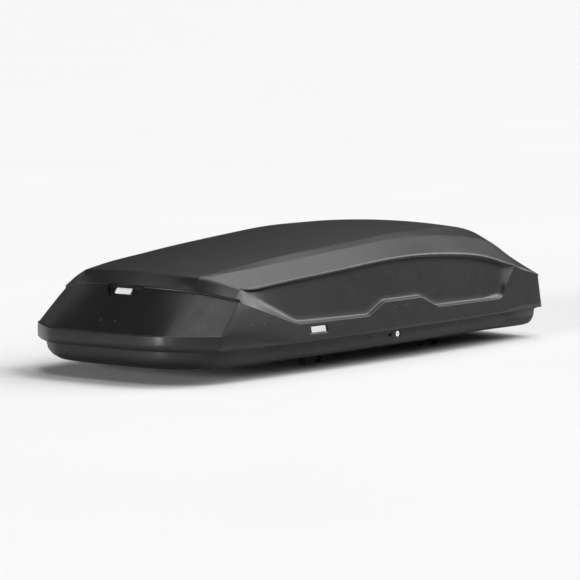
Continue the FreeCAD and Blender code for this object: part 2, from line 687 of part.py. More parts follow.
# ---------------------------------------------------------------- assembly
def all_nodes():
    outer = lid_body(0.0)
    inner = lid_body(WALL)
    nodes = {}
    nodes["base_shell"] = make_base_shell()
    nodes["lid_shell"] = make_lid_shell(outer, inner)
    nodes["lid_rivets"] = make_lid_rivets(outer)
    nodes["rear_badge"] = tail_badge(0.0, -5.0, -3.0)
    nodes["rear_lid_guide"] = make_tail_guide()
    paired = {
        "side_badge": side_badge(outer, 0.0, 1.6, 0.4),
        "strikers": make_strikers(outer, inner),
        "lid_stiffener": make_lid_stiffener(inner),
        "claws": make_claws(),
        "hinge_brackets": make_hinge_brackets(),
        "hinge_pins": make_hinge_pins(),
        "bracket_screws": make_bracket_screws(),
        "torsion_springs": make_torsion_springs(),
        "base_rail": make_base_rail(),
        "lock_housing": make_lock_housing(),
        "lock_slider": make_lock_slider(),
        "lock_rail": make_lock_rail(),
        "key_cylinder": make_key_cylinder(),
    }
    for name, shape in paired.items():
        nodes["left_" + name] = shape
        nodes["right_" + name] = other_side(shape)
    for end, y in CLAMP_Y.items():
        for side, x in (("left", CLAMP_X), ("right", -CLAMP_X)):
            label = end + "_" + side + "_clamp"
            nodes[label + "_housing"] = clamp_housing(x, y)
            nodes[label + "_knob"] = clamp_knob(x, y)
            nodes[label + "_front_jaw"] = clamp_jaw(x, y, -1)
            nodes[label + "_rear_jaw"] = clamp_jaw(x, y, 1)
    for end, y in STRAP_Y.items():
        nodes[end + "_load_strap"] = load_strap(y)
    nodes["strap_buckles"] = make_strap_buckles()
    nodes["strap_anchors"] = make_strap_anchors()
    return nodes


os.makedirs("parts", exist_ok=True)
for node_name, node_shape in all_nodes().items():
    node_shape.exportStep("parts/" + node_name + ".step")
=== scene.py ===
import json
import math

import bmesh
import bpy
import numpy as np
from mathutils import Matrix, Vector


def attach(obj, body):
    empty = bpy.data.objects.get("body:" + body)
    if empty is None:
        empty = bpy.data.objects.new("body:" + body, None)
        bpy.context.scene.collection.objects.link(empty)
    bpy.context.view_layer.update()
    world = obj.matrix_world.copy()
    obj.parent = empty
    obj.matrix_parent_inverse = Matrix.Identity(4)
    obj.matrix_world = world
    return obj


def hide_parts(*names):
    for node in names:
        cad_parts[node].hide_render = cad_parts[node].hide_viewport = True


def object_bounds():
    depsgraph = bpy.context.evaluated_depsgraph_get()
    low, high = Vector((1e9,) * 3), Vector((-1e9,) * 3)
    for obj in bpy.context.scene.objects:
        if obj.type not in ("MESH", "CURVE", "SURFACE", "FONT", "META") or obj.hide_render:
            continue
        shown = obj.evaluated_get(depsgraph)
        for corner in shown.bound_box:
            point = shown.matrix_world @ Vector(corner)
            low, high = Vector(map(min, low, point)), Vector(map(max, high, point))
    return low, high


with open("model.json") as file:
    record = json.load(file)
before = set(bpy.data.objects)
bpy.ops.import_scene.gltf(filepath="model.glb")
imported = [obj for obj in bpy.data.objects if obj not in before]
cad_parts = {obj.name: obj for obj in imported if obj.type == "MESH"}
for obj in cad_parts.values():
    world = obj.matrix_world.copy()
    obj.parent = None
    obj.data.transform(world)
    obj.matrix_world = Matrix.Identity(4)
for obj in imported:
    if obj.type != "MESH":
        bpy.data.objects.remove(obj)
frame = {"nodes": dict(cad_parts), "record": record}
cad_low, cad_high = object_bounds()
nodes = frame["nodes"]
MM = 0.001

# Roof cargo box.  Geometry below is worked out in millimetres in the CAD frame:
# +Z up, nose towards -Y, tail towards +Y, and turned into metres when meshes are made.

# ------------------------------------------------------------------ smooth functions


class Smooth:
    """Natural cubic spline through a few points, straight beyond its ends."""

    def __init__(self, xs, ys):
        order = np.argsort(xs)
        self.x = np.array(xs, float)[order]
        self.y = np.array(ys, float)[order]
        n = len(self.x)
        h = np.diff(self.x)
        a = np.eye(n)
        b = np.zeros(n)
        for i in range(1, n - 1):
            a[i, i - 1] = h[i - 1]
            a[i, i] = 2 * (h[i - 1] + h[i])
            a[i, i + 1] = h[i]
            b[i] = 6 * ((self.y[i + 1] - self.y[i]) / h[i] - (self.y[i] - self.y[i - 1]) / h[i - 1])
        self.m = np.linalg.solve(a, b)

    def __call__(self, x):
        i = int(np.clip(np.searchsorted(self.x, x) - 1, 0, len(self.x) - 2))
        h = self.x[i + 1] - self.x[i]
        t = (self.x[i + 1] - x) / h
        u = (x - self.x[i]) / h
        bend = ((t ** 3 - t) * self.m[i] + (u ** 3 - u) * self.m[i + 1]) * h * h / 6
        if x < self.x[0] or x > self.x[-1]:
            bend = 0.0
        return t * self.y[i] + u * self.y[i + 1] + bend


class Monotone:
    """Shape-keeping cubic through a few points, straight beyond its last point."""

    def __init__(self, xs, ys, flat_start=False):
        self.x = np.array(xs, float)
        self.y = np.array(ys, float)
        h = np.diff(self.x)
        d = np.diff(self.y) / h
        m = np.zeros(len(self.x))
        for i in range(1, len(m) - 1):
            if d[i - 1] * d[i] > 0:
                w1 = 2 * h[i] + h[i - 1]
                w2 = h[i] + 2 * h[i - 1]
                m[i] = (w1 + w2) / (w1 / d[i - 1] + w2 / d[i])
        m[0] = 0.0 if flat_start else d[0]
        m[-1] = d[-1]
        self.m = m

    def __call__(self, x):
        i = int(np.clip(np.searchsorted(self.x, x) - 1, 0, len(self.x) - 2))
        if x > self.x[-1]:
            return self.y[-1] + self.m[-1] * (x - self.x[-1])
        h = self.x[i + 1] - self.x[i]
        t = (x - self.x[i]) / h
        return (
            self.y[i] * (2 * t ** 3 - 3 * t ** 2 + 1)
            + h * self.m[i] * (t ** 3 - 2 * t ** 2 + t)
            + self.y[i + 1] * (3 * t ** 2 - 2 * t ** 3)
            + h * self.m[i + 1] * (t ** 3 - t ** 2)
        )


def mix(a, b, t):
    return a + (b - a) * t


def ease(t):
    t = min(max(t, 0.0), 1.0)
    return t * t * (3 - 2 * t)


# ------------------------------------------------------------------ lid surfaces
SKIRT_Z = 64.0
LEDGE_Z = 110.0
LID_WALL = 3.6

# station y, skirt half-width, ridge (h, z), shoulder crease (h, z), roof edge (h, z), crown
SECTIONS = (
    (980.0, 341.0, 291.0, 205.0, 232.0, 238.0, 218.0, 244.0, 9.0),
    (860.0, 359.0, 307.6, 222.0, 236.0, 256.0, 222.0, 261.0, 9.0),
    (748.0, 375.5, 325.6, 234.0, 240.0, 271.0, 226.0, 275.0, 9.0),
    (600.0, 390.5, 341.0, 244.5, 262.0, 286.0, 231.0, 291.0, 9.0),
    (400.0, 405.0, 358.0, 258.5, 280.0, 300.0, 239.0, 311.0, 9.0),
    (200.0, 415.0, 370.0, 272.5, 292.0, 315.0, 247.0, 326.0, 9.0),
    (0.0, 420.0, 375.6, 286.0, 299.0, 329.0, 254.0, 338.5, 10.0),
    (-200.0, 422.0, 377.0, 288.5, 302.0, 338.0, 257.0, 350.0, 11.0),
    (-400.0, 420.0, 377.5, 277.5, 302.0, 335.0, 248.0, 351.5, 11.0),
    (-600.0, 416.0, 380.5, 250.5, 300.0, 314.0, 232.0, 345.0, 10.0),
    (-740.0, 411.0, 383.0, 212.5, 300.0, 280.0, 226.0, 314.0, 9.0),
    (-820.0, 407.0, 384.5, 192.0, 300.0, 240.0, 226.0, 277.0, 8.0),
    (-895.0, 402.0, 385.5, 168.0, 300.0, 206.0, 226.0, 232.0, 6.0),
    (-980.0, 396.0, 386.0, 122.0, 300.0, 162.0, 226.0, 180.0, 4.0),
)
(skirt_h, ridge_h, ridge_z, crease_h, crease_z, roof_h, roof_z, crown) = [
    Smooth([row[0] for row in SECTIONS], [row[k] for row in SECTIONS]) for k in range(1, 9)
]

END_X = (0.0, 120.0, 221.0, 251.0, 299.0, 363.0)
tail_y = Monotone(END_X, (947.0, 944.0, 931.0, 914.0, 879.0, 824.0), True)
lip_y = Monotone(END_X, (833.0, 818.0, 778.0, 761.0, 736.0, 703.0), True)
lip_z = Monotone(END_X, (244.0, 240.5, 233.0, 228.5, 219.0, 205.0), True)
nose_y = Monotone(
    (0.0, 120.0, 221.0, 299.0, 363.0, 403.0), (-945.0, -941.0, -931.0, -918.0, -901.0, -889.0), True)
ROOF_CORNER = 226.0
roof_tail = Monotone((0.0, 120.0, ROOF_CORNER), (755.0, 754.0, 749.0), True)


def visor_y(x):
    """Rear edge of the roof, then the straight line down to the tail corner."""
    return roof_tail(x) if x <= ROOF_CORNER else 749.0 - 0.6226 * (x - ROOF_CORNER)


def nose_lean(z):
    return 4.5 * (z - 64.0) / 101.0 if z < 165.0 else 4.5 + 33.0 * (z - 165.0) / 135.0


def side_h(y, z):
    """Half-width of the flank surface, before the hollow is sunk into it."""
    base = skirt_h(y)
    share = (z - SKIRT_Z) / (ridge_z(y) - SKIRT_Z)
    belly = 1.0 - abs(2.0 * min(max(share, 0.0), 1.0) - 1.0) ** 3
    return base - (base - ridge_h(y)) * share + 16.0 * ease((y - 430.0) / 400.0) * belly


hollow_depth = Monotone(
    (-980.0, 380.0, 440.0, 480.0, 520.0, 560.0, 600.0, 630.0, 655.0, 683.0, 990.0),
    (12.0, 12.0, 14.0, 17.0, 20.0, 21.0, 18.0, 13.0, 7.0, 0.0, 0.0))


# Fractions of the roof from the centreline to its edge, then counts of the shoulder
# strips.  Across the box a row index runs A0 (centreline) to A24 (ridge).
ROOF_F = (0, 0.07, 0.14, 0.2, 0.26, 0.31, 0.324, 0.4, 0.5, 0.6, 0.7, 0.8, 0.9, 1.0)
N_S1 = 4
N_S2 = 7
A_EDGE = len(ROOF_F) - 1
A_CREASE = A_EDGE + N_S1
A_RIDGE = A_CREASE + N_S2

# Down the flank a row index runs B0 (ridge), B1 (lip), B2 (top of hollow floor),
# B10 (foot of the floor), B15 (outer edge of the ledge), B28 (skirt bottom).
N_FLOOR = 8
N_COVE = 5
B_FLOOR = 2 + N_FLOOR
B_EDGE = B_FLOOR + N_COVE
BAND_F = (0, 0.03, 0.06, 0.12, 0.157, 0.185, 0.28, 0.39, 0.5, 0.593, 0.62, 0.74, 0.87, 1.0)
B_LAST = B_EDGE + len(BAND_F) - 1
PANEL_F = (0, 0.09, 0.19, 0.212, 0.35, 0.5, 0.65, 0.83, 1.0)


def top_point(y, a):
    """(half-width, height) of row a of the roof and shoulders at station y."""
    if a <= A_EDGE:
        f = ROOF_F[a]
        return roof_h(y) * f, roof_z(y) + crown(y) * (1 - f * f)
    if a <= A_CREASE:
        t = (a - A_EDGE) / N_S1
        return mix(roof_h(y), crease_h(y), t), mix(roof_z(y), crease_z(y), t)
    t = (a - A_CREASE) / N_S2
    return mix(crease_h(y), ridge_h(y), t), mix(crease_z(y), ridge_z(y), t)


def solve(step, start):
    value = start
    for _ in range(60):
        value = 0.5 * value + 0.5 * step(value)
    return value


rear_y = [solve(lambda y, a=a: visor_y(top_point(y, a)[0]), 700.0) for a in range(A_RIDGE + 1)]
front_y = [
    solve(lambda y, a=a: nose_y(top_point(y, a)[0]) + nose_lean(top_point(y, a)[1]), -880.0)
    for a in range(A_RIDGE + 1)
]


def tail_profile(b, x):
    """(y, z) of row b of the tail at distance x from the centreline, below the visor."""
    k = b - B_EDGE
    if k == 0:
        return lip_y(x) + 3.0, lip_z(x) + 5.0
    if k == 1:
        return lip_y(x) - 2.5, lip_z(x) + 1.5
    low = (lip_y(x) - 1.2, lip_z(x) - 2.5)
    if k <= 10:
        f = PANEL_F[k - 2]
        return mix(low[0], tail_y(x) - 8.0, f), mix(low[1], LEDGE_Z, f)
    return tail_y(x), {11: LEDGE_Z - 0.5, 12: 86.0, 13: SKIRT_Z}[k]


def corner_x(b):
    return solve(lambda x: side_h(*tail_profile(b, x)), 345.0)


tail_corner = {b: corner_x(b) for b in range(B_EDGE, B_LAST + 1)}

# Outer edge of the ledge O and foot of the hollow floor I, as (y, z) pairs, from the
# tail corner to the point where the scooped end wall meets the ridge.
EDGE_TAIL = tail_profile(B_EDGE, tail_corner[B_EDGE])
LINES = (
    ((701.0, 202.0), (673.0, 238.0)),
    ((684.0, 195.0), (660.0, 234.0)),
    ((660.0, 187.5), (640.0, 225.0)),
    ((634.0, 179.0), (617.0, 214.0)),
    ((600.0, 166.5), (590.0, 201.0)),
    ((560.0, 153.0), (556.0, 184.5)),
    ((519.0, 138.0), (513.0, 162.5)),
    ((484.0, 126.5), (478.0, 143.0)),
    ((457.0, 118.0), (450.0, 131.0)),
    ((119.0, 115.0), (115.0, 124.0)),
    ((30.0, 153.0), (27.0, 162.0)),
    ((-170.0, 153.0), (-167.0, 162.0)),
    ((-257.0, 115.0), (-253.0, 124.0)),
    ((-540.0, 112.0), (-540.0, 121.0)),
    ((-615.0, 112.0), (-590.0, 128.0)),
    ((-640.0, 118.0), (-628.0, 130.0)),
    ((-653.0, 131.0), (-634.0, 144.0)),
    ((-665.0, 152.0), (-641.0, 168.0)),
    ((-700.0, 180.0), (-650.0, 205.0)),
    ((-722.0, 196.0), (-664.0, None)),
)
MEET_Y = -739.0
BADGE_Y = 373.0
BADGE_Z = 97.0
POCKET = (BADGE_Y + 42.5, BADGE_Y + 41.0, BADGE_Y - 41.0, BADGE_Y - 42.5)


def column_list():
    """Columns of the body grid: (O, I, share of the last run, share of the nose run)."""
    keys = [(o, (i[0], i[1] if i[1] else ridge_z(i[0]) - 8.0)) for o, i in LINES]
    columns = [(o, i, 0.0, 0.0) for o, i in keys[:1]]
    for (o0, i0), (o1, i1) in zip(keys, keys[1:]):
        length = math.hypot(o1[0] - o0[0], o1[1] - o0[1])
        count = max(2, round(length / 13.0))
        shares = {k / count for k in range(1, count + 1)}
        for y in POCKET:
            if o1[0] < y < o0[0]:
                shares.add((y - o0[0]) / (o1[0] - o0[0]))
        last = 0.0
        for t in sorted(shares):
            if t - last < 1e-6:
                continue
            last = t
            o = (mix(o0[0], o1[0], t), mix(o0[1], o1[1], t))
            i = (mix(i0[0], i1[0], t), mix(i0[1], i1[1], t))
            columns.append((o, i, 0.0, 0.0))
    o0, i0 = keys[-1]
    for k in range(1, 8):
        s = k / 7
        o = (mix(o0[0], MEET_Y, s), mix(o0[1], ridge_z(MEET_Y), s))
        y = mix(i0[0], MEET_Y, s)
        columns.append((o, (y, ridge_z(y) - 8.0 * (1 - s)), s, 0.0))
    for k in range(1, 15):
        columns.append((None, None, 1.0, k / 14))
    return columns


ROOF_REAR_Y = 600.0                           # behind it the roof rows run out to the visor
VISOR_CORNER_Y = 683.0                        # where the ledge line meets the visor
BAND_REAR_Y = 457.0                           # behind it the skirt rows run out to the tail
COVE_REAR_Y = 430.0                           # behind it the cove grows rounder
LIP_DROP = 8.0                                # height of the lip over the hollow
LIP_FADE = 60.0                               # the lip dies away over this length


def body_column(column):
    """Rows A0..A24 and B1..B28 of one column of the body grid, +X side."""
    o, i, s, nose = column
    points = []
    if nose:
        for a in range(A_RIDGE + 1):
            y = mix(MEET_Y, front_y[a], nose)
            h, z = top_point(y, a)
            points.append((h, y, z))
        ridge = points[-1]
        round_off = 9.0 * ease(3.0 * nose) * (1.0 - nose ** 3)
        above = np.array(points[-2])
        ridge_p = np.array(ridge)
        y_low = mix(MEET_Y, front_y[A_RIDGE], nose)
        below = np.array((side_h(y_low, ridge[2] - 12.0), y_low, ridge[2] - 12.0))
        start = ridge_p + (above - ridge_p) / np.linalg.norm(above - ridge_p) * round_off
        stop = ridge_p + (below - ridge_p) / np.linalg.norm(below - ridge_p) * round_off
        points[-1] = tuple(start)
        for k in range(1, B_EDGE + 1):
            t = k / B_EDGE
            q = start * (1 - t) ** 2 + ridge_p * 2 * t * (1 - t) + stop * t * t
            points.append(tuple(q))
        top = points[-1]
        for f in BAND_F[1:]:
            z = mix(top[2], SKIRT_Z, f)
            end = solve(lambda y, z=z: nose_y(side_h(y, z)) + nose_lean(z), -880.0)
            y = mix(MEET_Y, end, nose)
            points.append((side_h(y, z), y, z))
        return points
    for a in range(A_RIDGE + 1):
        y = i[0]
        if y > ROOF_REAR_Y:
            y = ROOF_REAR_Y + (y - ROOF_REAR_Y) * (rear_y[a] - ROOF_REAR_Y) / (
                VISOR_CORNER_Y - ROOF_REAR_Y)
        h, z = top_point(y, a)
        points.append((h, y, z))
    ridge = points[-1]
    lip = LIP_DROP * (1 - s) * min(1.0, (VISOR_CORNER_Y - i[0]) / LIP_FADE)
    depth = hollow_depth(i[0]) * (1 - s)
    cove = mix(2.0, 1.5, ease((o[0] - COVE_REAR_Y) / 100.0))
    y = ridge[1]
    z = ridge[2] - lip
    points.append((side_h(y, z), y, z))
    points.append((side_h(y, z) - depth, y, z - 0.5 * (1 - s)))
    start = points[-1]
    for k in range(1, N_FLOOR + 1):
        t = k / N_FLOOR
        y = mix(start[1], i[0], t)
        z = mix(start[2], i[1], t)
        points.append((side_h(y, z) - depth, y, z))
    for k in range(1, N_COVE + 1):
        t = k / N_COVE
        y = mix(i[0], o[0], t)
        z = mix(i[1], o[1], t)
        points.append((side_h(y, z) - depth * (1 - t ** cove), y, z))
    for k, f in enumerate(BAND_F[1:], 1):
        end = tail_profile(B_EDGE + k, tail_corner[B_EDGE + k])[0]
        y = o[0]
        if y > BAND_REAR_Y:
            y = BAND_REAR_Y + (y - BAND_REAR_Y) * (end - BAND_REAR_Y) / (
                EDGE_TAIL[0] - BAND_REAR_Y)
        z = mix(o[1], SKIRT_Z, f)
        points.append((side_h(y, z), y, z))
    return points


def visor_share(b):
    """How far row b lies down the visor; the first row leaves room for the rounding."""
    return 0.0 if b == 0 else mix(0.28, 1.0, (b - 1) / (B_EDGE - 1))


def corner_column():
    """The tail end of the body grid: the visor's upper edge and the tail corner."""
    points = []
    for a in range(A_RIDGE + 1):
        h, z = top_point(rear_y[a], a)
        points.append((h, rear_y[a], z))
    ridge = points[-1]
    for k in range(1, B_EDGE + 1):
        t = max(k - B_FLOOR, 0) / N_COVE
        y = mix(ridge[1], EDGE_TAIL[0], t)
        z = mix(ridge[2], EDGE_TAIL[1], t)
        points.append((mix(ridge[0], side_h(*EDGE_TAIL), t), y, z))
    for b in range(B_EDGE + 1, B_LAST + 1):
        y, z = tail_profile(b, tail_corner[b])
        points.append((side_h(y, z), y, z))
    return points


def tail_patch(boundary):
    """Grid of the tail, rows A across and B down, from the visor's upper edge."""
    grid = np.zeros((A_RIDGE + 1, B_LAST + 1, 3))
    full = boundary[A_RIDGE][0]
    j_in, j_out = 5, 6
    for a in range(A_RIDGE + 1):
        share = boundary[a][0] / full
        top = np.array(boundary[a])
        for b in range(B_EDGE, B_LAST + 1):
            x = share * tail_corner[b]
            k = b - B_EDGE
            if 1 <= k <= 10:
                x = notch_shift(a, k, x, j_in, j_out)
            y, z = tail_profile(b, x)
            grid[a, b] = (x, y, z)
        low = grid[a, B_EDGE]
        for b in range(B_EDGE):
            grid[a, b] = top + (low - top) * visor_share(b)
    for b in range(B_EDGE, B_LAST + 1):
        grid[A_RIDGE, b] = boundary[A_RIDGE + b]
    for b in range(B_EDGE):
        grid[A_RIDGE, b] = boundary[A_RIDGE + b]
    normal = np.array((0.0, 0.766, 0.643))
    for a in range(j_in + 1):
        for b in (B_EDGE + 1, B_EDGE + 2, B_EDGE + 3, B_EDGE + 4):
            sink = 10.0 if b > B_EDGE + 1 else 5.0
            grid[a, b] -= normal * sink
    return grid


NOTCH_TOP = 73.0
NOTCH_LOW = 47.0


def notch_shift(a, k, x, j_in, j_out):
    """Leans the columns beside the grip notch so that its sides follow the grid."""
    f = PANEL_F[max(k - 2, 0)]
    edge_f = PANEL_F[3]
    if f <= edge_f:
        edge = mix(NOTCH_TOP, NOTCH_LOW, f / edge_f)
    else:
        edge = mix(NOTCH_LOW, ROOF_F[j_out] * 242.0, (f - edge_f) / (1 - edge_f))
    plain = ROOF_F[j_out] * 232.0
    if a == j_out:
        return edge
    if a == j_in:
        return edge - 2.5
    if a < j_in:
        return x * (edge - 2.5) / plain * ROOF_F[j_out] / ROOF_F[j_in] * 0.985
    reach = A_EDGE
    if a < reach:
        t = (a - j_out) / (reach - j_out)
        return mix(edge - plain, 0.0, t) + x
    return x


def nose_patch(boundary):
    """Grid of the nose face, rows A across and band rows down."""
    n = len(BAND_F)
    grid = np.zeros((A_RIDGE + 1, n, 3))
    corner = [boundary[A_RIDGE + B_EDGE + k] for k in range(n)]
    for a in range(A_RIDGE + 1):
        top = boundary[a]
        for k, f in enumerate(BAND_F):
            x = top[0] * mix(1.0, corner[-1][0] / corner[0][0], f)
            z = mix(top[2], SKIRT_Z, f)
            grid[a, k] = (x, nose_y(x) + nose_lean(z), z)
        grid[a, 0] = top
    for k in range(n):
        grid[A_RIDGE, k] = corner[k]
    return grid


# ------------------------------------------------------------------ grid rounding


def toward(p, q, reach, limit=0.48):
    d = q - p
    length = np.linalg.norm(d, axis=-1, keepdims=True)
    safe = np.where(length < 1e-9, 1.0, length)
    return p + d / safe * np.minimum(reach, length * limit)


def rounded(grid, creases):
    """Replaces each crease row (axis 0) by a small curve of five rows."""
    rows = []
    for i in range(grid.shape[0]):
        if i not in creases:
            rows.append(grid[i])
            continue
        up, down = creases[i]
        a = toward(grid[i], grid[i - 1], np.reshape(up, (-1, 1)) if np.ndim(up) else up)
        b = toward(grid[i], grid[i + 1], np.reshape(down, (-1, 1)) if np.ndim(down) else down)
        for t in (0.0, 0.25, 0.5, 0.75, 1.0):
            rows.append(a * (1 - t) ** 2 + grid[i] * 2 * t * (1 - t) + b * t * t)
    return np.array(rows)


A_CREASES = {A_EDGE: (14.0, 9.0), A_CREASE: (9.0, 9.0)}
B_CREASES = {
    1: (1.5, 1.5), 2: (2.0, 3.0), B_EDGE: (2.2, 2.2), B_EDGE + 1: (1.0, 1.0),
    B_EDGE + 2: (1.0, 1.0), B_EDGE + 10: (3.0, 3.0), B_EDGE + 11: (2.5, 2.5),
}


def build_lid_grids():
    corner = corner_column()
    columns = [corner] + [body_column(c) for c in column_list()]
    body = np.array(columns).transpose(1, 0, 2)          # rows, columns, xyz
    tail = tail_patch(corner)
    nose = nose_patch(columns[-1])
    sink_pocket(body)
    count = body.shape[1]
    ridge_up = np.array([4.0 + 5.0 * ease((300.0 - body[A_RIDGE, c, 1]) / 500.0)
                         for c in range(count)])
    ridge_up[0] = 0.0
    for c, (_, _, scoop, forward) in enumerate(column_list(), 1):
        ridge_up[c] *= 0.0 if forward else 1.0 - scoop
    creases = dict(A_CREASES)
    creases[A_RIDGE] = (ridge_up, ridge_up)
    for b, r in B_CREASES.items():
        creases[A_RIDGE + b] = r
    body = rounded(body, creases)
    tail = rounded(tail, A_CREASES)
    tail = rounded(tail.transpose(1, 0, 2), B_CREASES).transpose(1, 0, 2)
    nose = rounded(nose, A_CREASES)
    nose_rows = {b - B_EDGE: r for b, r in B_CREASES.items() if b > B_EDGE}
    nose = rounded(nose.transpose(1, 0, 2), nose_rows).transpose(1, 0, 2)
    return body, tail, nose


def sink_pocket(body):
    """Shallow pocket for the plate on the flank."""
    rows = [A_RIDGE + B_EDGE + k for k in (5, 6, 7, 8, 9)]
    for c in range(body.shape[1]):
        y = body[A_RIDGE + B_EDGE, c, 1]
        if POCKET[2] - 0.1 <= y <= POCKET[1] + 0.1:
            for r in rows:
                body[r, c, 0] -= 1.8


# ------------------------------------------------------------------ meshes


def new_object(name, verts, faces):
    mesh = bpy.data.meshes.new(name)
    mesh.from_pydata([tuple(v) for v in verts], [], faces)
    mesh.update()
    obj = bpy.data.objects.new(name, mesh)
    bpy.context.scene.collection.objects.link(obj)
    return obj


class Quads:
    """Collects grids of points and turns them into one mesh, both sides."""

    def __init__(self):
        self.points = []
        self.faces = []

    def grid(self, pts):
        rows, cols = pts.shape[:2]
        start = len(self.points)
        self.points += [tuple(p) for p in pts.reshape(-1, 3)]
        for i in range(rows - 1):
            for j in range(cols - 1):
                a = start + i * cols + j
                self.faces.append((a, a + 1, a + cols + 1, a + cols))

    def make(self, name, mirror=True, merge=0.02):
        points = list(self.points)
        faces = list(self.faces)
        if mirror:
            n = len(points)
            points += [(-x, y, z) for x, y, z in self.points]
            faces += [tuple(n + i for i in reversed(f)) for f in self.faces]
        obj = new_object(name, np.array(points) * MM, faces)
        bm = bmesh.new()
        bm.from_mesh(obj.data)
        bmesh.ops.remove_doubles(bm, verts=bm.verts, dist=merge * MM)
        bmesh.ops.dissolve_degenerate(bm, dist=0.01 * MM, edges=bm.edges)
        bmesh.ops.recalc_face_normals(bm, faces=bm.faces)
        highest = max(bm.faces, key=lambda f: f.calc_center_median().z)
        if highest.normal.z < 0:
            bmesh.ops.reverse_faces(bm, faces=bm.faces)
        bm.to_mesh(obj.data)
        bm.free()
        return obj


def seam(body_edge, body_next, patch_edge, patch_next, radius):
    """Rounded strip between two grids that share an edge line."""
    a = toward(body_edge, body_next, radius, 0.8)
    b = toward(patch_edge, patch_next, radius, 0.8)
    rows = []
    for t in (0.0, 0.2, 0.4, 0.6, 0.8, 1.0):
        rows.append(a * (1 - t) ** 2 + body_edge * 2 * t * (1 - t) + b * t * t)
    return a, b, np.array(rows)


def expanded_count(creases, below):
    return 4 * sum(1 for i in creases if i < below)


def build_lid():
    body, tail, nose = build_lid_grids()
    ridge_row = A_RIDGE + expanded_count(A_CREASES, A_RIDGE)      # first ridge row in body
    a_last = tail.shape[0] - 1
    quads = Quads()

    # seam with the tail patch: along the visor edge, then down the tail corner
    rows = body.shape[0]
    patch_edge = np.zeros((rows, 3))
    patch_next = np.zeros((rows, 3))
    index = []
    for r in range(rows):
        if r <= ridge_row:
            index.append((r, 0))
        elif r <= ridge_row + 4:
            index.append((a_last, 0))
        else:
            index.append((a_last, r - ridge_row - 4))
    for r, (a, b) in enumerate(index):
        patch_edge[r] = tail[a, b]
        patch_next[r] = tail[a if a < a_last else a - 1, 1 if b == 0 else b]
    lip_row = nose_start_row()
    radius = np.array([9.0 if r <= ridge_row else 4.0 for r in range(rows)])[:, None]
    radius[ridge_row - 4:lip_row - 3] = 6.0
    a_pts, b_pts, strip = seam(body[:, 0], body[:, 1], patch_edge, patch_next, radius)
    for r, (a, b) in enumerate(index):
        tail[a, b] = b_pts[r]
    body[:, 0] = a_pts
    strip[:, :, :] = strip
    quads.grid(strip)

    # seam with the nose patch
    edge_row = nose_start_row()
    a_last = nose.shape[0] - 1
    index = []
    for r in range(rows):
        if r <= ridge_row:
            index.append((r, 0))
        elif r <= edge_row:
            index.append((a_last, 0))
        else:
            index.append((a_last, min(r - edge_row, nose.shape[1] - 1)))
    for r, (a, b) in enumerate(index):
        patch_edge[r] = nose[a, b]
        patch_next[r] = nose[a if a < a_last else a - 1, 1 if b == 0 else b]
    radius = np.array([12.0 if r <= edge_row else 12.0 + 10.0 * ease((r - edge_row) / 12.0)
                       for r in range(rows)])[:, None]
    wide_a = toward(body[:, -1], body[:, -4], radius, 0.9)
    wide_b = toward_far(patch_edge, nose, index, a_last, radius)
    for first in (ridge_row - 4, edge_row):
        start, stop = wide_b[first].copy(), wide_b[first + 4].copy()
        for k in (1, 2, 3):
            wide_b[first + k] = start + (stop - start) * (k / 4)
    strip = []
    for t in np.linspace(0, 1, 9):
        strip.append(wide_a * (1 - t) ** 2 + body[:, -1] * 2 * t * (1 - t) + wide_b * t * t)
    trim_body(body, wide_a)
    for r, (a, b) in enumerate(index):
        nose[a, b] = wide_b[r]
    spread_patch(nose)
    quads.grid(np.array(strip))

    quads.grid(body)
    quads.grid(tail)
    quads.grid(nose)
    return quads.make("lid_moulding")


def nose_start_row():
    """Row of the body grid that is the outer ledge edge (last of its rounded rows)."""
    extra = 4 * (len(A_CREASES) + 1) + 4 * sum(1 for b in B_CREASES if b <= B_EDGE)
    return A_RIDGE + B_EDGE + extra


def toward_far(edge, nose, index, a_last, radius):
    """Points a rounding radius into the nose face from its outline."""
    out = np.zeros_like(edge)
    for r, (a, b) in enumerate(index):
        inner_a = max(a - 3, 0) if a == a_last else a
        inner_b = 3 if b == 0 else b
        target = nose[inner_a, min(inner_b, nose.shape[1] - 1)]
        d = target - edge[r]
        length = np.linalg.norm(d)
        out[r] = edge[r] + d / max(length, 1e-9) * min(radius[r, 0], 0.9 * length)
    return out


def trim_body(body, ends):
    """Pulls the last columns of the body grid back behind its rounded end."""
    start = body[:, -6].copy()
    for k, t in enumerate((0.2, 0.4, 0.6, 0.8), 1):
        body[:, -6 + k] = start + (ends - start) * t
    body[:, -1] = ends


def spread_patch(nose):
    """Re-spaces the outer rows and columns of the nose grid after its edge moved."""
    a_last = nose.shape[0] - 1
    for b in range(1, nose.shape[1]):
        start = nose[a_last - 4, b].copy()
        for k in (1, 2, 3):
            nose[a_last - 4 + k, b] = start + (nose[a_last, b] - start) * (k / 4)
    for a in range(0, a_last):
        end = nose[a, 4].copy()
        for k in (1, 2, 3):
            nose[a, k] = nose[a, 0] + (end - nose[a, 0]) * (k / 4)


# ------------------------------------------------------------------ materials


def node_material(name):
    mat = bpy.data.materials.new(name)
    mat.use_nodes = True
    tree = mat.node_tree
    tree.nodes.clear()
    out = tree.nodes.new("ShaderNodeOutputMaterial")
    shader = tree.nodes.new("ShaderNodeBsdfPrincipled")
    tree.links.new(shader.outputs[0], out.inputs[0])
    coords = tree.nodes.new("ShaderNodeTexCoord")
    return mat, tree, shader, coords.outputs["Object"]


def noise(tree, vector, scale, detail=4.0, rough=0.5):
    node = tree.nodes.new("ShaderNodeTexNoise")
    node.inputs["Scale"].default_value = scale
    node.inputs["Detail"].default_value = detail
    node.inputs["Roughness"].default_value = rough
    tree.links.new(vector, node.inputs["Vector"])
    return node.outputs["Fac"]


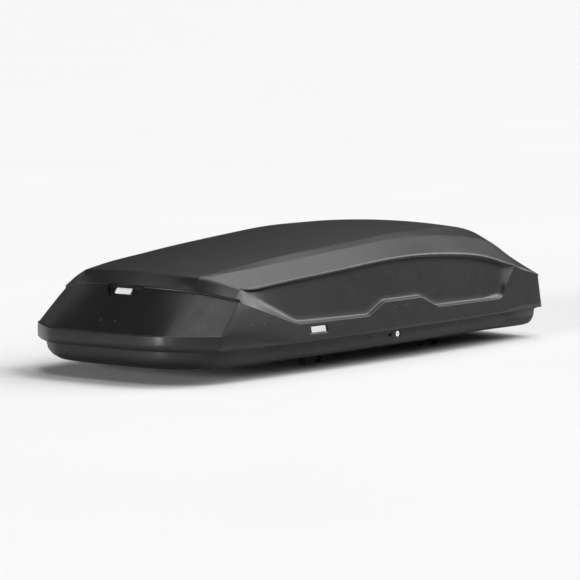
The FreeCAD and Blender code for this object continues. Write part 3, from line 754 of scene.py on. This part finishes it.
def ramp(tree, source, low, high, out_low, out_high):
    node = tree.nodes.new("ShaderNodeMapRange")
    node.inputs["From Min"].default_value = low
    node.inputs["From Max"].default_value = high
    node.inputs["To Min"].default_value = out_low
    node.inputs["To Max"].default_value = out_high
    tree.links.new(source, node.inputs["Value"])
    return node.outputs["Result"]


def colour_mix(tree, factor, a, b):
    node = tree.nodes.new("ShaderNodeMix")
    node.data_type = "RGBA"
    tree.links.new(factor, node.inputs["Factor"])
    node.inputs["A"].default_value = (*a, 1)
    node.inputs["B"].default_value = (*b, 1)
    return node.outputs["Result"]


def stretched(tree, vector, scale):
    node = tree.nodes.new("ShaderNodeMapping")
    node.inputs["Scale"].default_value = scale
    tree.links.new(vector, node.inputs["Vector"])
    return node.outputs["Vector"]


def bump(tree, shader, height, strength, distance, normal=None):
    node = tree.nodes.new("ShaderNodeBump")
    node.inputs["Strength"].default_value = strength
    node.inputs["Distance"].default_value = distance
    tree.links.new(height, node.inputs["Height"])
    if normal is not None:
        tree.links.new(normal, node.inputs["Normal"])
    tree.links.new(node.outputs["Normal"], shader.inputs["Normal"])
    return node.outputs["Normal"]


def moulded(name, dark, light, rough=(0.45, 0.6), grain=900.0, depth=0.00006, spec=0.4):
    """Moulded plastic: faint cloudy colour, uneven sheen and a pebble grain."""
    mat, tree, shader, vec = node_material(name)
    cloud = noise(tree, vec, 6.0, 5.0, 0.6)
    tree.links.new(colour_mix(tree, ramp(tree, cloud, 0.3, 0.7, 0, 1), dark, light),
                   shader.inputs["Base Color"])
    streak = noise(tree, vec, 28.0, 6.0, 0.7)
    tree.links.new(ramp(tree, streak, 0.3, 0.7, *rough), shader.inputs["Roughness"])
    shader.inputs["Specular IOR Level"].default_value = spec
    cells = tree.nodes.new("ShaderNodeTexVoronoi")
    cells.inputs["Scale"].default_value = grain
    tree.links.new(vec, cells.inputs["Vector"])
    bump(tree, shader, cells.outputs["Distance"], 0.5, depth)
    return mat


def metal(name, tint, rough=(0.25, 0.4), brushed=(1, 1, 1), bump_depth=0.00002):
    """Metal with fine drawn lines and patchy sheen."""
    mat, tree, shader, vec = node_material(name)
    shader.inputs["Metallic"].default_value = 1.0
    dull = tuple(0.8 * c for c in tint)
    cloud = noise(tree, vec, 30.0, 4.0)
    tree.links.new(colour_mix(tree, ramp(tree, cloud, 0.3, 0.7, 0, 1), dull, tint),
                   shader.inputs["Base Color"])
    lines = noise(tree, stretched(tree, vec, brushed), 600.0, 3.0)
    tree.links.new(ramp(tree, lines, 0.3, 0.7, *rough), shader.inputs["Roughness"])
    bump(tree, shader, lines, 0.4, bump_depth)
    return mat


def webbing_material():
    """Woven polyester: two crossed sets of ribs."""
    mat, tree, shader, vec = node_material("webbing_weave")
    warp = tree.nodes.new("ShaderNodeTexWave")
    warp.bands_direction = "X"
    warp.inputs["Scale"].default_value = 260.0
    weft = tree.nodes.new("ShaderNodeTexWave")
    weft.bands_direction = "Y"
    weft.inputs["Scale"].default_value = 420.0
    for wave in (warp, weft):
        wave.inputs["Distortion"].default_value = 0.4
        tree.links.new(vec, wave.inputs["Vector"])
    both = tree.nodes.new("ShaderNodeMath")
    both.operation = "MULTIPLY"
    tree.links.new(warp.outputs["Fac"], both.inputs[0])
    tree.links.new(weft.outputs["Fac"], both.inputs[1])
    tree.links.new(colour_mix(tree, both.outputs[0], (0.008, 0.008, 0.009), (0.035, 0.035, 0.038)),
                   shader.inputs["Base Color"])
    shader.inputs["Roughness"].default_value = 0.8
    bump(tree, shader, both.outputs[0], 0.8, 0.0004)
    return mat


def floor_material():
    mat, tree, shader, vec = node_material("studio_floor")
    cloud = noise(tree, vec, 0.6, 3.0)
    tree.links.new(colour_mix(tree, cloud, (0.80, 0.80, 0.80), (0.84, 0.84, 0.84)),
                   shader.inputs["Base Color"])
    shader.inputs["Roughness"].default_value = 0.7
    shader.inputs["Specular IOR Level"].default_value = 0.2
    return mat


MATERIALS = {
    # The base is the same black plastic as the lid. Its colour is set darker as painted shade for
    # the downward-facing tub sides, which get less light.
    "base_abs": moulded("base_abs", (0.0045, 0.0045, 0.005), (0.0065, 0.0065, 0.007), (0.44, 0.56)),
    "lid_abs": moulded("lid_abs", (0.0075, 0.0075, 0.008), (0.010, 0.010, 0.0105), (0.36, 0.44)),
    "rivet": moulded("rivet_black", (0.006, 0.006, 0.007), (0.012, 0.012, 0.013), (0.3, 0.4)),
    "badge": moulded("badge_light", (0.70, 0.71, 0.72), (0.80, 0.81, 0.82), (0.25, 0.35)),
    "black_plastic": moulded("black_nylon", (0.008, 0.008, 0.009), (0.014, 0.014, 0.015)),
    "clamp_plastic": moulded("clamp_nylon", (0.014, 0.014, 0.015), (0.022, 0.022, 0.024)),
    "knob_plastic": moulded("knob_grey", (0.035, 0.035, 0.037), (0.05, 0.05, 0.052)),
    "jaw_rubber": moulded("jaw_rubber", (0.010, 0.010, 0.010), (0.018, 0.018, 0.018), (0.7, 0.85)),
    "zinc_steel": metal("zinc_steel", (0.58, 0.59, 0.60), (0.3, 0.45)),
    "rail_aluminium": metal("rail_aluminium", (0.66, 0.67, 0.68), (0.25, 0.4), (1, 0.02, 1)),
    "key_chrome": metal("key_chrome", (0.85, 0.85, 0.86), (0.06, 0.14)),
    "webbing": webbing_material(),
}
SLOT_OF = {part["node"]: part["material_slot"] for part in frame["record"]["subparts"]}


def paint(obj, material):
    obj.data.materials.clear()
    obj.data.materials.append(material)


def smooth(obj, angle=35.0):
    for polygon in obj.data.polygons:
        polygon.use_smooth = True
    if obj.data.has_custom_normals:
        bpy.context.view_layer.objects.active = obj
        with bpy.context.temp_override(object=obj, active_object=obj):
            bpy.ops.mesh.customdata_custom_splitnormals_clear()
    obj.data.set_sharp_from_angle(angle=math.radians(angle))


def add_bevel(obj, width, segments=2, angle=40.0):
    mod = obj.modifiers.new("edge_round", "BEVEL")
    mod.width = width * MM
    mod.segments = segments
    mod.limit_method = "ANGLE"
    mod.angle_limit = math.radians(angle)
    mod.harden_normals = False
    return mod


def thicken(obj, thickness):
    mod = obj.modifiers.new("wall", "SOLIDIFY")
    mod.thickness = thickness * MM
    mod.offset = -1.0
    mod.use_even_offset = False
    return mod


def finish_piece(obj, body, slot_name, replaced):
    paint(obj, MATERIALS[slot_name])
    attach(obj, body)
    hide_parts(*replaced)
    return obj


# ------------------------------------------------------------------ lid pieces


def flank_normal(y, z):
    d = 6.0
    along = np.array((side_h(y + d, z) - side_h(y - d, z), 2 * d, 0))
    rising = np.array((side_h(y, z + d) - side_h(y, z - d), 0, 2 * d))
    n = np.cross(along, rising)
    n /= np.linalg.norm(n)
    return n, along / np.linalg.norm(along)


def local_frame(origin, normal, along):
    up = np.cross(normal, along)
    return np.array(origin), np.array(along), up, np.array(normal)


def flank_place(y, z):
    n, along = flank_normal(y, z)
    return local_frame((side_h(y, z), y, z), n, along)


def panel_place(x, z):
    f = (z - (lip_z(x) - 2.5)) / (LEDGE_Z - lip_z(x) + 2.5)
    y = mix(lip_y(x) - 1.2, tail_y(x) - 8.0, f)
    rise = np.array((0, lip_y(x) - 1.2 - tail_y(x) + 8.0, lip_z(x) - 2.5 - LEDGE_Z))
    rise /= np.linalg.norm(rise)
    along = np.array((-1.0, 0, 0))
    return local_frame((x, y, z), np.cross(along, rise), along)


def to_world(place, pts):
    origin, along, up, normal = place
    pts = np.array(pts)
    return origin + pts[:, :1] * along + pts[:, 1:2] * up + pts[:, 2:3] * normal


def mirrored(pts):
    return pts * np.array((-1.0, 1.0, 1.0))


def rivet_points():
    """Dome with a small brim, as rings from the centre outwards and down the shank."""
    profile = ((0.0, 1.9), (1.6, 1.75), (3.0, 1.25), (3.9, 0.6), (4.3, 0.15), (4.3, -0.4),
               (1.9, -0.6), (1.9, -6.5), (0.0, -6.5))
    return profile


def lathe(place, profile, steps=20, flip=False):
    verts = []
    faces = []
    for r, h in profile:
        for k in range(steps):
            t = 2 * math.pi * k / steps
            verts.append((r * math.cos(t), r * math.sin(t), h))
    for i in range(len(profile) - 1):
        for k in range(steps):
            a = i * steps + k
            b = i * steps + (k + 1) % steps
            quad = (a, b, b + steps, a + steps)
            faces.append(quad)
    pts = to_world(place, verts)
    if flip:
        pts = mirrored(pts)
    return pts, faces


def joined(name, parts, merge=0.01):
    verts = []
    faces = []
    for pts, fs in parts:
        n = len(verts)
        verts += [tuple(p) for p in pts]
        faces += [tuple(n + i for i in f) for f in fs]
    obj = new_object(name, np.array(verts) * MM, faces)
    bm = bmesh.new()
    bm.from_mesh(obj.data)
    bmesh.ops.remove_doubles(bm, verts=bm.verts, dist=merge * MM)
    bmesh.ops.dissolve_degenerate(bm, dist=0.001 * MM, edges=bm.edges)
    bmesh.ops.recalc_face_normals(bm, faces=bm.faces)
    bm.to_mesh(obj.data)
    bm.free()
    return obj


def plate(place, half_x, half_y, low, high, radius=2.0, flip=False, crown_h=0.3):
    """Rounded plate with a softened rim and a slightly crowned face."""
    corner = []
    for cx, cy, start in ((1, 1, 0), (-1, 1, 90), (-1, -1, 180), (1, -1, 270)):
        for k in range(6):
            t = math.radians(start + 90 * k / 5)
            corner.append((cx * (half_x - radius) + radius * math.cos(t),
                           cy * (half_y - radius) + radius * math.sin(t)))
    rings = ((0.0, low), (0.0, high - 0.5), (0.15, high - 0.2), (0.5, high), (1.6, high + 0.1))
    verts = []
    for shrink, h in rings:
        for x, y in corner:
            sx = (half_x - shrink) / half_x
            sy = (half_y - shrink) / half_y
            verts.append((x * sx, y * sy, h))
    n = len(corner)
    faces = []
    for i in range(len(rings) - 1):
        for k in range(n):
            a = i * n + k
            b = i * n + (k + 1) % n
            faces.append((a, b, b + n, a + n))
    for share in (0.6, 0.2):
        for x, y in corner:
            verts.append((x * share, y * share, high + 0.1 + crown_h * (1 - share)))
    for i in (len(rings) - 1, len(rings)):
        for k in range(n):
            a = i * n + k
            b = i * n + (k + 1) % n
            faces.append((a, b, b + n, a + n))
    top = (len(rings) + 1) * n
    faces.append(tuple(top + k for k in range(n)))
    faces.append(tuple(reversed(range(n))))
    pts = to_world(place, verts)
    if flip:
        pts = mirrored(pts)
    return pts, faces


UNIT_Y = (650.0, -48.0, -768.0)


def make_rivets():
    parts = []
    for unit in UNIT_Y:
        for side in (-30.0, 30.0):
            place = flank_place(unit + side, 132.0)
            parts.append(lathe(place, rivet_points()))
            parts.append(lathe(place, rivet_points(), flip=True))
    for x in (-28.0, 28.0):
        place = panel_place(abs(x), 144.0)
        parts.append(lathe(place, rivet_points(), flip=x < 0))
    obj = joined("flank_and_tail_rivets", parts)
    smooth(obj, 50)
    return finish_piece(obj, "lid", "rivet", ["lid_rivets"])


def make_badges():
    for name, flip in (("left", False), ("right", True)):
        place = flank_place(BADGE_Y, BADGE_Z)
        pts = plate(place, 33.0, 9.3, -1.7, 0.2, 2.5, flip)
        obj = joined(name + "_flank_plate", [pts])
        smooth(obj, 30)
        finish_piece(obj, "lid", "badge", [name + "_side_badge"])
    pts = plate(panel_place(0.0, 232.0), 31.0, 10.0, -9.8, -5.8, 2.5)
    obj = joined("tail_plate", [pts])
    smooth(obj, 30)
    finish_piece(obj, "lid", "badge", ["rear_badge"])


lid = build_lid()
smooth(lid, 60)
thicken(lid, LID_WALL)
finish_piece(lid, "lid", "lid_abs", ["lid_shell"])
make_rivets()
make_badges()

# ------------------------------------------------------------------ base tub
FLOOR_Z = 7.95                                # a hair below the clamps that stand on it
UNDER_Z = 4.0                                 # flat underside round the pad
# Rings of the tub section: inset at the sides, inset at nose and tail, height.
# They run from the floor inside, up the wall, round the rim and down outside.
BASE_RINGS = (
    (84.0, 84.0, FLOOR_Z), (72.0, 72.0, 8.3), (60.0, 58.0, 9.4), (50.0, 45.0, 13.2),
    (42.5, 35.0, 19.0), (37.8, 29.0, 26.0), (36.0, 26.0, 31.8), (36.0, 24.0, 43.0),
    (36.0, 23.0, 54.2), (36.0, 23.0, 59.0), (37.0, 24.0, 60.0), (38.1, 30.0, 60.0),
    (45.9, 38.0, 60.0), (91.5, 82.0, 60.0), (92.0, 82.5, 60.5), (92.0, 82.5, 63.5),
    (91.5, 82.0, 64.0), (45.9, 38.0, 64.0), (38.1, 30.0, 64.0), (20.6, 10.6, 64.0),
    (20.0, 10.0, 63.4), (20.0, 10.0, 60.6), (20.6, 10.6, 60.0), (31.2, 18.4, 60.0),
    (32.0, 19.0, 59.2), (32.0, 19.0, 54.2), (32.0, 20.0, 43.0), (32.0, 22.0, 31.8),
    (33.6, 25.5, 24.0), (38.0, 31.0, 15.5), (46.0, 40.5, 9.0), (57.0, 53.5, 5.2),
    (71.0, 69.0, 4.0), (78.0, 78.0, 4.0),
)
NOSE_SHARE = 0.68                             # the tub fills the nose more than the tail
HINGE_X = 358.0                               # the pins lie at this half-width
HINGE_Z = 76.0
TUB_WALL = 4.0
LID_SWING = math.radians(50.0)                # the lid opens this far
SWING_GAP = 5.0                               # left free beside the swinging skirt
LAST_INSIDE_ROW = 10                          # rows 0 to 10 line the inside of the tub
HALF_WIDTH = 410.0                            # the insets are shares of these two
HALF_LENGTH = 940.0
MID_SCALE = 1.0 - 20.0 / HALF_LENGTH          # length scale of the rings at the lock windows
NOSE_TIP = (401.0, -881.0)                    # the plan's corners before they are rounded
TAIL_TIP = (362.0, 812.0)
WINDOW_ROWS = ((8, 7, 6), (25, 26, 27))       # inside and outside of the lock window
WINDOW_Y = (-75.2, -37.5, 0.2)
LUG_ROWS = ((12, 11), (17, 18))               # underside and top of the rim slot
LUG_Y = (16.0, 37.0, 58.0)
SLOT_X = 250.0
SLOT_Y = (220.0, -420.0)
SLOT_HALF = (12.0, 162.0)
PAD = (190.0, 700.0)


def tub_outline():
    """Plan of the skirt on the +X side from the middle of the nose to that of the tail."""
    nose = [(x, nose_y(x)) for x in np.arange(0.0, 371.0, 37.0)]
    marks = [y / MID_SCALE for y in WINDOW_Y + LUG_Y]
    marks += [y for y in np.arange(-840.0, 790.0, 41.0) if min(abs(y - m) for m in marks) > 9.0]
    flank = [(skirt_h(y), y) for y in sorted(marks)]
    tail = [(x, tail_y(x)) for x in np.arange(340.0, -1.0, -17.0)]

    def corner(a, tip, b, count=6):
        out = []
        for k in range(1, count):
            t = k / count
            out.append(tuple(a[i] * (1 - t) ** 2 + 2 * tip[i] * t * (1 - t) + b[i] * t * t
                             for i in (0, 1)))
        return out

    front = corner(nose[-1], NOSE_TIP, flank[0])
    back = corner(flank[-1], TAIL_TIP, tail[0])
    return nose + front + flank + back + tail


def hinge_limit(half, z):
    """Widest the tub may be at height z where the lid, half wide there, swings past it."""
    reach = half - LID_WALL - SWING_GAP - HINGE_X
    if reach <= 0.0:
        return half
    drop = HINGE_Z - SKIRT_Z
    depth = HINGE_Z - z
    if depth < reach * math.sin(LID_SWING) + drop * math.cos(LID_SWING):
        return HINGE_X + math.sqrt(reach ** 2 + drop ** 2 - depth ** 2)
    return HINGE_X + reach * math.cos(LID_SWING) - drop * math.sin(LID_SWING)


def flat_fill(bm, loops):
    """Fills a flat region bounded by closed loops of vertices."""
    edges = []
    for loop in loops:
        for a, b in zip(loop, loop[1:] + loop[:1]):
            edge = bm.edges.get((a, b)) or bm.edges.new((a, b))
            edges.append(edge)
    bmesh.ops.triangle_fill(bm, use_beauty=True, use_dissolve=False, edges=edges,
                            normal=(0, 0, 1))


def rounded_rect(bm, cx, cy, hx, hy, z, r, steps=4):
    loop = []
    for sx, sy, start in ((1, 1, 0), (-1, 1, 90), (-1, -1, 180), (1, -1, 270)):
        for k in range(steps + 1):
            t = math.radians(start + 90 * k / steps)
            loop.append(bm.verts.new((
                (cx + sx * (hx - r) + r * math.cos(t)) * MM,
                (cy + sy * (hy - r) + r * math.sin(t)) * MM, z * MM)))
    return loop


def bridge_loops(bm, a, b):
    n = len(a)
    for k in range(n):
        bm.faces.new((a[k], a[(k + 1) % n], b[(k + 1) % n], b[k]))


def make_base():
    half = tub_outline()
    full = half + [(-x, y) for x, y in reversed(half[1:-1])]
    n = len(full)
    bm = bmesh.new()
    rings = []
    for row, (side_inset, end_inset, z) in enumerate(BASE_RINGS):
        ring = []
        inner = TUB_WALL if row <= LAST_INSIDE_ROW else 0.0
        for x, y in full:
            share = NOSE_SHARE if y < 0 else 1.0
            inset = mix(side_inset, end_inset * share, ease((abs(y) - 600.0) / 260.0))
            y_in = y * (1.0 - end_inset * share / HALF_LENGTH)
            skirt_half = skirt_h(y_in) if NOSE_TIP[1] < y_in < TAIL_TIP[1] else abs(x)
            limit = hinge_limit(skirt_half, z) - inner
            reach = min(abs(x) * (1.0 - inset / HALF_WIDTH), limit)
            ring.append(bm.verts.new((math.copysign(reach, x) * MM, y_in * MM, z * MM)))
        rings.append(ring)

    def columns(y_low, y_high):
        picked = []
        for k, (x, y) in enumerate(full):
            if y_low - 0.5 < y * MID_SCALE < y_high + 0.5 and abs(x) > 380.0:
                picked.append(k)
        return [k for k in picked if k < len(half)], [k for k in picked if k >= len(half)]

    holes = []
    for rows, span in ((WINDOW_ROWS, WINDOW_Y), (LUG_ROWS, LUG_Y)):
        for cols in columns(span[0], span[2]):
            holes.append((rows, cols))
    open_faces = set()
    for rows, cols in holes:
        for group in rows:
            for row in range(min(group), max(group)):
                for col in range(cols[0], cols[-1]):
                    open_faces.add((row, col))
        edge = []
        for group in rows:
            first, last = group[0], group[-1]
            loop = [rings[first][c] for c in cols]
            loop += [rings[r][cols[-1]] for r in group[1:]]
            loop += [rings[last][c] for c in reversed(cols[:-1])]
            loop += [rings[r][cols[0]] for r in reversed(group[1:-1])]
            edge.append(loop)
        bridge_loops(bm, edge[0], edge[1])
    for i in range(len(rings) - 1):
        for k in range(n):
            if (i, k) in open_faces:
                continue
            j = (k + 1) % n
            bm.faces.new((rings[i][k], rings[i][j], rings[i + 1][j], rings[i + 1][k]))
    top_loops = [rings[0]]
    low_loops = [rings[-1]]
    for sx in (-1, 1):
        for y in SLOT_Y:
            low = rounded_rect(bm, sx * SLOT_X, y, *SLOT_HALF, UNDER_Z, 3.0)
            top = rounded_rect(bm, sx * SLOT_X, y, *SLOT_HALF, FLOOR_Z, 3.0)
            bridge_loops(bm, low, top)
            low_loops.append(low)
            top_loops.append(top)
    for x in (-150.0, 0.0, 150.0):
        foot = rounded_rect(bm, x, 0.0, 9.0, 641.0, FLOOR_Z, 4.0)
        knee = rounded_rect(bm, x, 0.0, 8.0, 640.0, 11.0, 4.0)
        crest = rounded_rect(bm, x, 0.0, 7.0, 639.0, 12.0, 3.0)
        bridge_loops(bm, foot, knee)
        bridge_loops(bm, knee, crest)
        bm.faces.new(crest)
        top_loops.append(foot)
    foot = rounded_rect(bm, 0.0, 0.0, PAD[0] + 8.0, PAD[1] + 8.0, UNDER_Z, 20.0, 8)
    knee = rounded_rect(bm, 0.0, 0.0, PAD[0] + 1.0, PAD[1] + 1.0, 0.4, 16.0, 8)
    sole = rounded_rect(bm, 0.0, 0.0, PAD[0], PAD[1], 0.0, 15.0, 8)
    bridge_loops(bm, foot, knee)
    bridge_loops(bm, knee, sole)
    bm.faces.new(sole)
    low_loops.append(foot)
    flat_fill(bm, top_loops)
    flat_fill(bm, low_loops)
    bmesh.ops.recalc_face_normals(bm, faces=bm.faces)
    mesh = bpy.data.meshes.new("base_tub")
    bm.to_mesh(mesh)
    bm.free()
    obj = bpy.data.objects.new("base_tub", mesh)
    bpy.context.scene.collection.objects.link(obj)
    smooth(obj, 32)
    finish_piece(obj, "base", "base_abs", ["base_shell"])


make_base()

# ------------------------------------------------------------------ load straps
STRAP_PATH = (
    (-306.0, 26.0), (-302.0, 19.0), (-294.0, 12.4), (-275.0, 10.0), (-240.0, 9.4),
    (-200.0, 9.6), (-163.0, 12.3), (-150.0, 12.9), (-137.0, 12.3), (-105.0, 9.8), (-60.0, 9.5),
    (-14.0, 12.4), (0.0, 12.95), (14.0, 12.8), (38.0, 13.0), (66.0, 13.0), (94.0, 13.0),
    (137.0, 12.8), (150.0, 12.95), (163.0, 12.3), (200.0, 9.7), (240.0, 9.4), (275.0, 10.0),
    (294.0, 12.4), (302.0, 19.0), (306.0, 26.0),
)
STRAP_Y = {"front": -120.0, "rear": 470.0}


def resample(path, step):
    """Points along a smoothed path at a nearly even spacing."""
    path = np.array(path)
    gaps = np.hypot(*np.diff(path, axis=0).T)
    run = np.concatenate(([0.0], np.cumsum(gaps)))
    curves = [Smooth(run, path[:, k]) for k in (0, 1)]
    count = int(run[-1] / step)
    return np.array([[c(run[-1] * k / count) for c in curves] for k in range(count + 1)])


def webbing_band(y, path, half_width=12.5, half_thick=0.62, step=2.0):
    """Band of webbing: corded across its width, with a faint ripple of the weft."""
    mid = resample(path, step)
    tangent = np.gradient(mid, axis=0)
    tangent /= np.linalg.norm(tangent, axis=1)[:, None]
    across = []
    cords = 11
    per = 4
    for k in range(cords * per + 1):
        u = k / (cords * per)
        cord = 0.16 * abs(math.sin(math.pi * cords * u))
        edge = min(u, 1 - u) * 2 * half_width
        across.append((mix(-half_width, half_width, u), half_thick * min(1.0, 0.55 + edge) + cord))
    ring = [(a, h) for a, h in across] + [(a, -h) for a, h in reversed(across)]
    verts = []
    for i, (p, t) in enumerate(zip(mid, tangent)):
        nx, nz = -t[1], t[0]
        ripple = 0.05 * (1 if i % 2 else -1)
        for a, h in ring:
            rise = h + (ripple if h > 0 else -ripple)
            verts.append((p[0] + nx * rise, y + a, p[1] + nz * rise))
    n = len(ring)
    faces = []
    for i in range(len(mid) - 1):
        for k in range(n):
            a = i * n + k
            b = i * n + (k + 1) % n
            faces.append((a, b, b + n, a + n))
    faces.append(tuple(range(n)))
    last = (len(mid) - 1) * n
    faces.append(tuple(last + k for k in reversed(range(n))))
    return np.array(verts), faces


def make_straps():
    for name, y in STRAP_Y.items():
        parts = [webbing_band(y, STRAP_PATH)]
        for sign in (-1, 1):
            fold = [(sign * 300.5, 18.6), (sign * 294.0, 13.9), (sign * 284.0, 12.2),
                    (sign * 268.0, 11.3), (sign * 252.0, 10.9)]
            parts.append(webbing_band(y, fold, 12.2, 0.55))
        obj = joined(name + "_webbing", parts)
        smooth(obj, 60)
        finish_piece(obj, "base", "webbing", [name + "_load_strap"])


make_straps()

# ------------------------------------------------------------------ CAD nodes kept
for node_name, node in nodes.items():
    if node.hide_render:
        continue
    paint(node, MATERIALS[SLOT_OF[node_name]])
    smooth(node, 30)
    small = "spring" not in node_name and "strap" not in node_name
    if small and node_name != "base_shell":
        add_bevel(node, 0.5)

# ------------------------------------------------------------------ studio
ground_z = cad_low.z - 0.0005
ground = new_object(
    "studio_floor",
    [(-90, -90, ground_z), (90, -90, ground_z), (90, 90, ground_z), (-90, 90, ground_z)],
    [(0, 1, 2, 3)])
paint(ground, floor_material())


def studio_world(seen, dim):
    """A white backdrop for the camera and a dimmer room for the surfaces."""
    world = bpy.data.worlds.new("studio")
    bpy.context.scene.world = world
    world.use_nodes = True
    tree = world.node_tree
    room = tree.nodes["Background"]
    room.inputs["Color"].default_value = (1, 1, 1, 1)
    room.inputs["Strength"].default_value = dim
    backdrop = tree.nodes.new("ShaderNodeBackground")
    backdrop.inputs["Color"].default_value = (1, 1, 1, 1)
    backdrop.inputs["Strength"].default_value = seen
    rays = tree.nodes.new("ShaderNodeLightPath")
    choose = tree.nodes.new("ShaderNodeMixShader")
    tree.links.new(rays.outputs["Is Camera Ray"], choose.inputs[0])
    tree.links.new(room.outputs[0], choose.inputs[1])
    tree.links.new(backdrop.outputs[0], choose.inputs[2])
    tree.links.new(choose.outputs[0], tree.nodes["World Output"].inputs["Surface"])


def sun_light(name, source, strength, spread):
    data = bpy.data.lights.new(name, "SUN")
    data.energy = strength
    data.angle = math.radians(spread)
    obj = bpy.data.objects.new(name, data)
    bpy.context.scene.collection.objects.link(obj)
    obj.rotation_euler = (-Vector(source)).to_track_quat("-Z", "Y").to_euler()
    return obj


studio_world(1.0, 0.02)
# compass bearing from +Y towards +X, elevation, strength, apparent size (degrees)
for light_name, bearing, elevation, strength, spread in (
    ("tail_low", 0, 8, 2.85, 17),
    ("nose_low", 198, 28, 1.25, 28),
    ("flank_low", 234, 28, 0.45, 28),
    ("nose_high", 206, 52, 1.6, 30),
    ("nose_far", 154, 52, 0.75, 30),
    ("overhead", 300, 86, 0.62, 20),
    ("far_side", 100, 12, 0.10, 40),
):
    flat = math.cos(math.radians(elevation))
    turn = math.radians(bearing)
    source = (math.sin(turn) * flat, math.cos(turn) * flat, math.sin(math.radians(elevation)))
    sun_light(light_name, source, strength, spread)

view_settings = bpy.context.scene.view_settings
view_settings.view_transform = "Standard"

camera_data = bpy.data.cameras.new("photo_view")
camera = bpy.data.objects.new("photo_view", camera_data)
bpy.context.scene.collection.objects.link(camera)
camera.location = (-6.533, 8.489, 1.226)
camera.rotation_mode = "QUATERNION"
aim_point = Vector((0.0, 0.001, 0.165))
camera.rotation_quaternion = (aim_point - camera.location).to_track_quat("-Z", "Y")
camera_data.sensor_width = 36.0
camera_data.lens = 205.0
camera_data.clip_start = 0.1
camera_data.clip_end = 200.0
bpy.context.scene.camera = camera

bpy.context.view_layer.update()
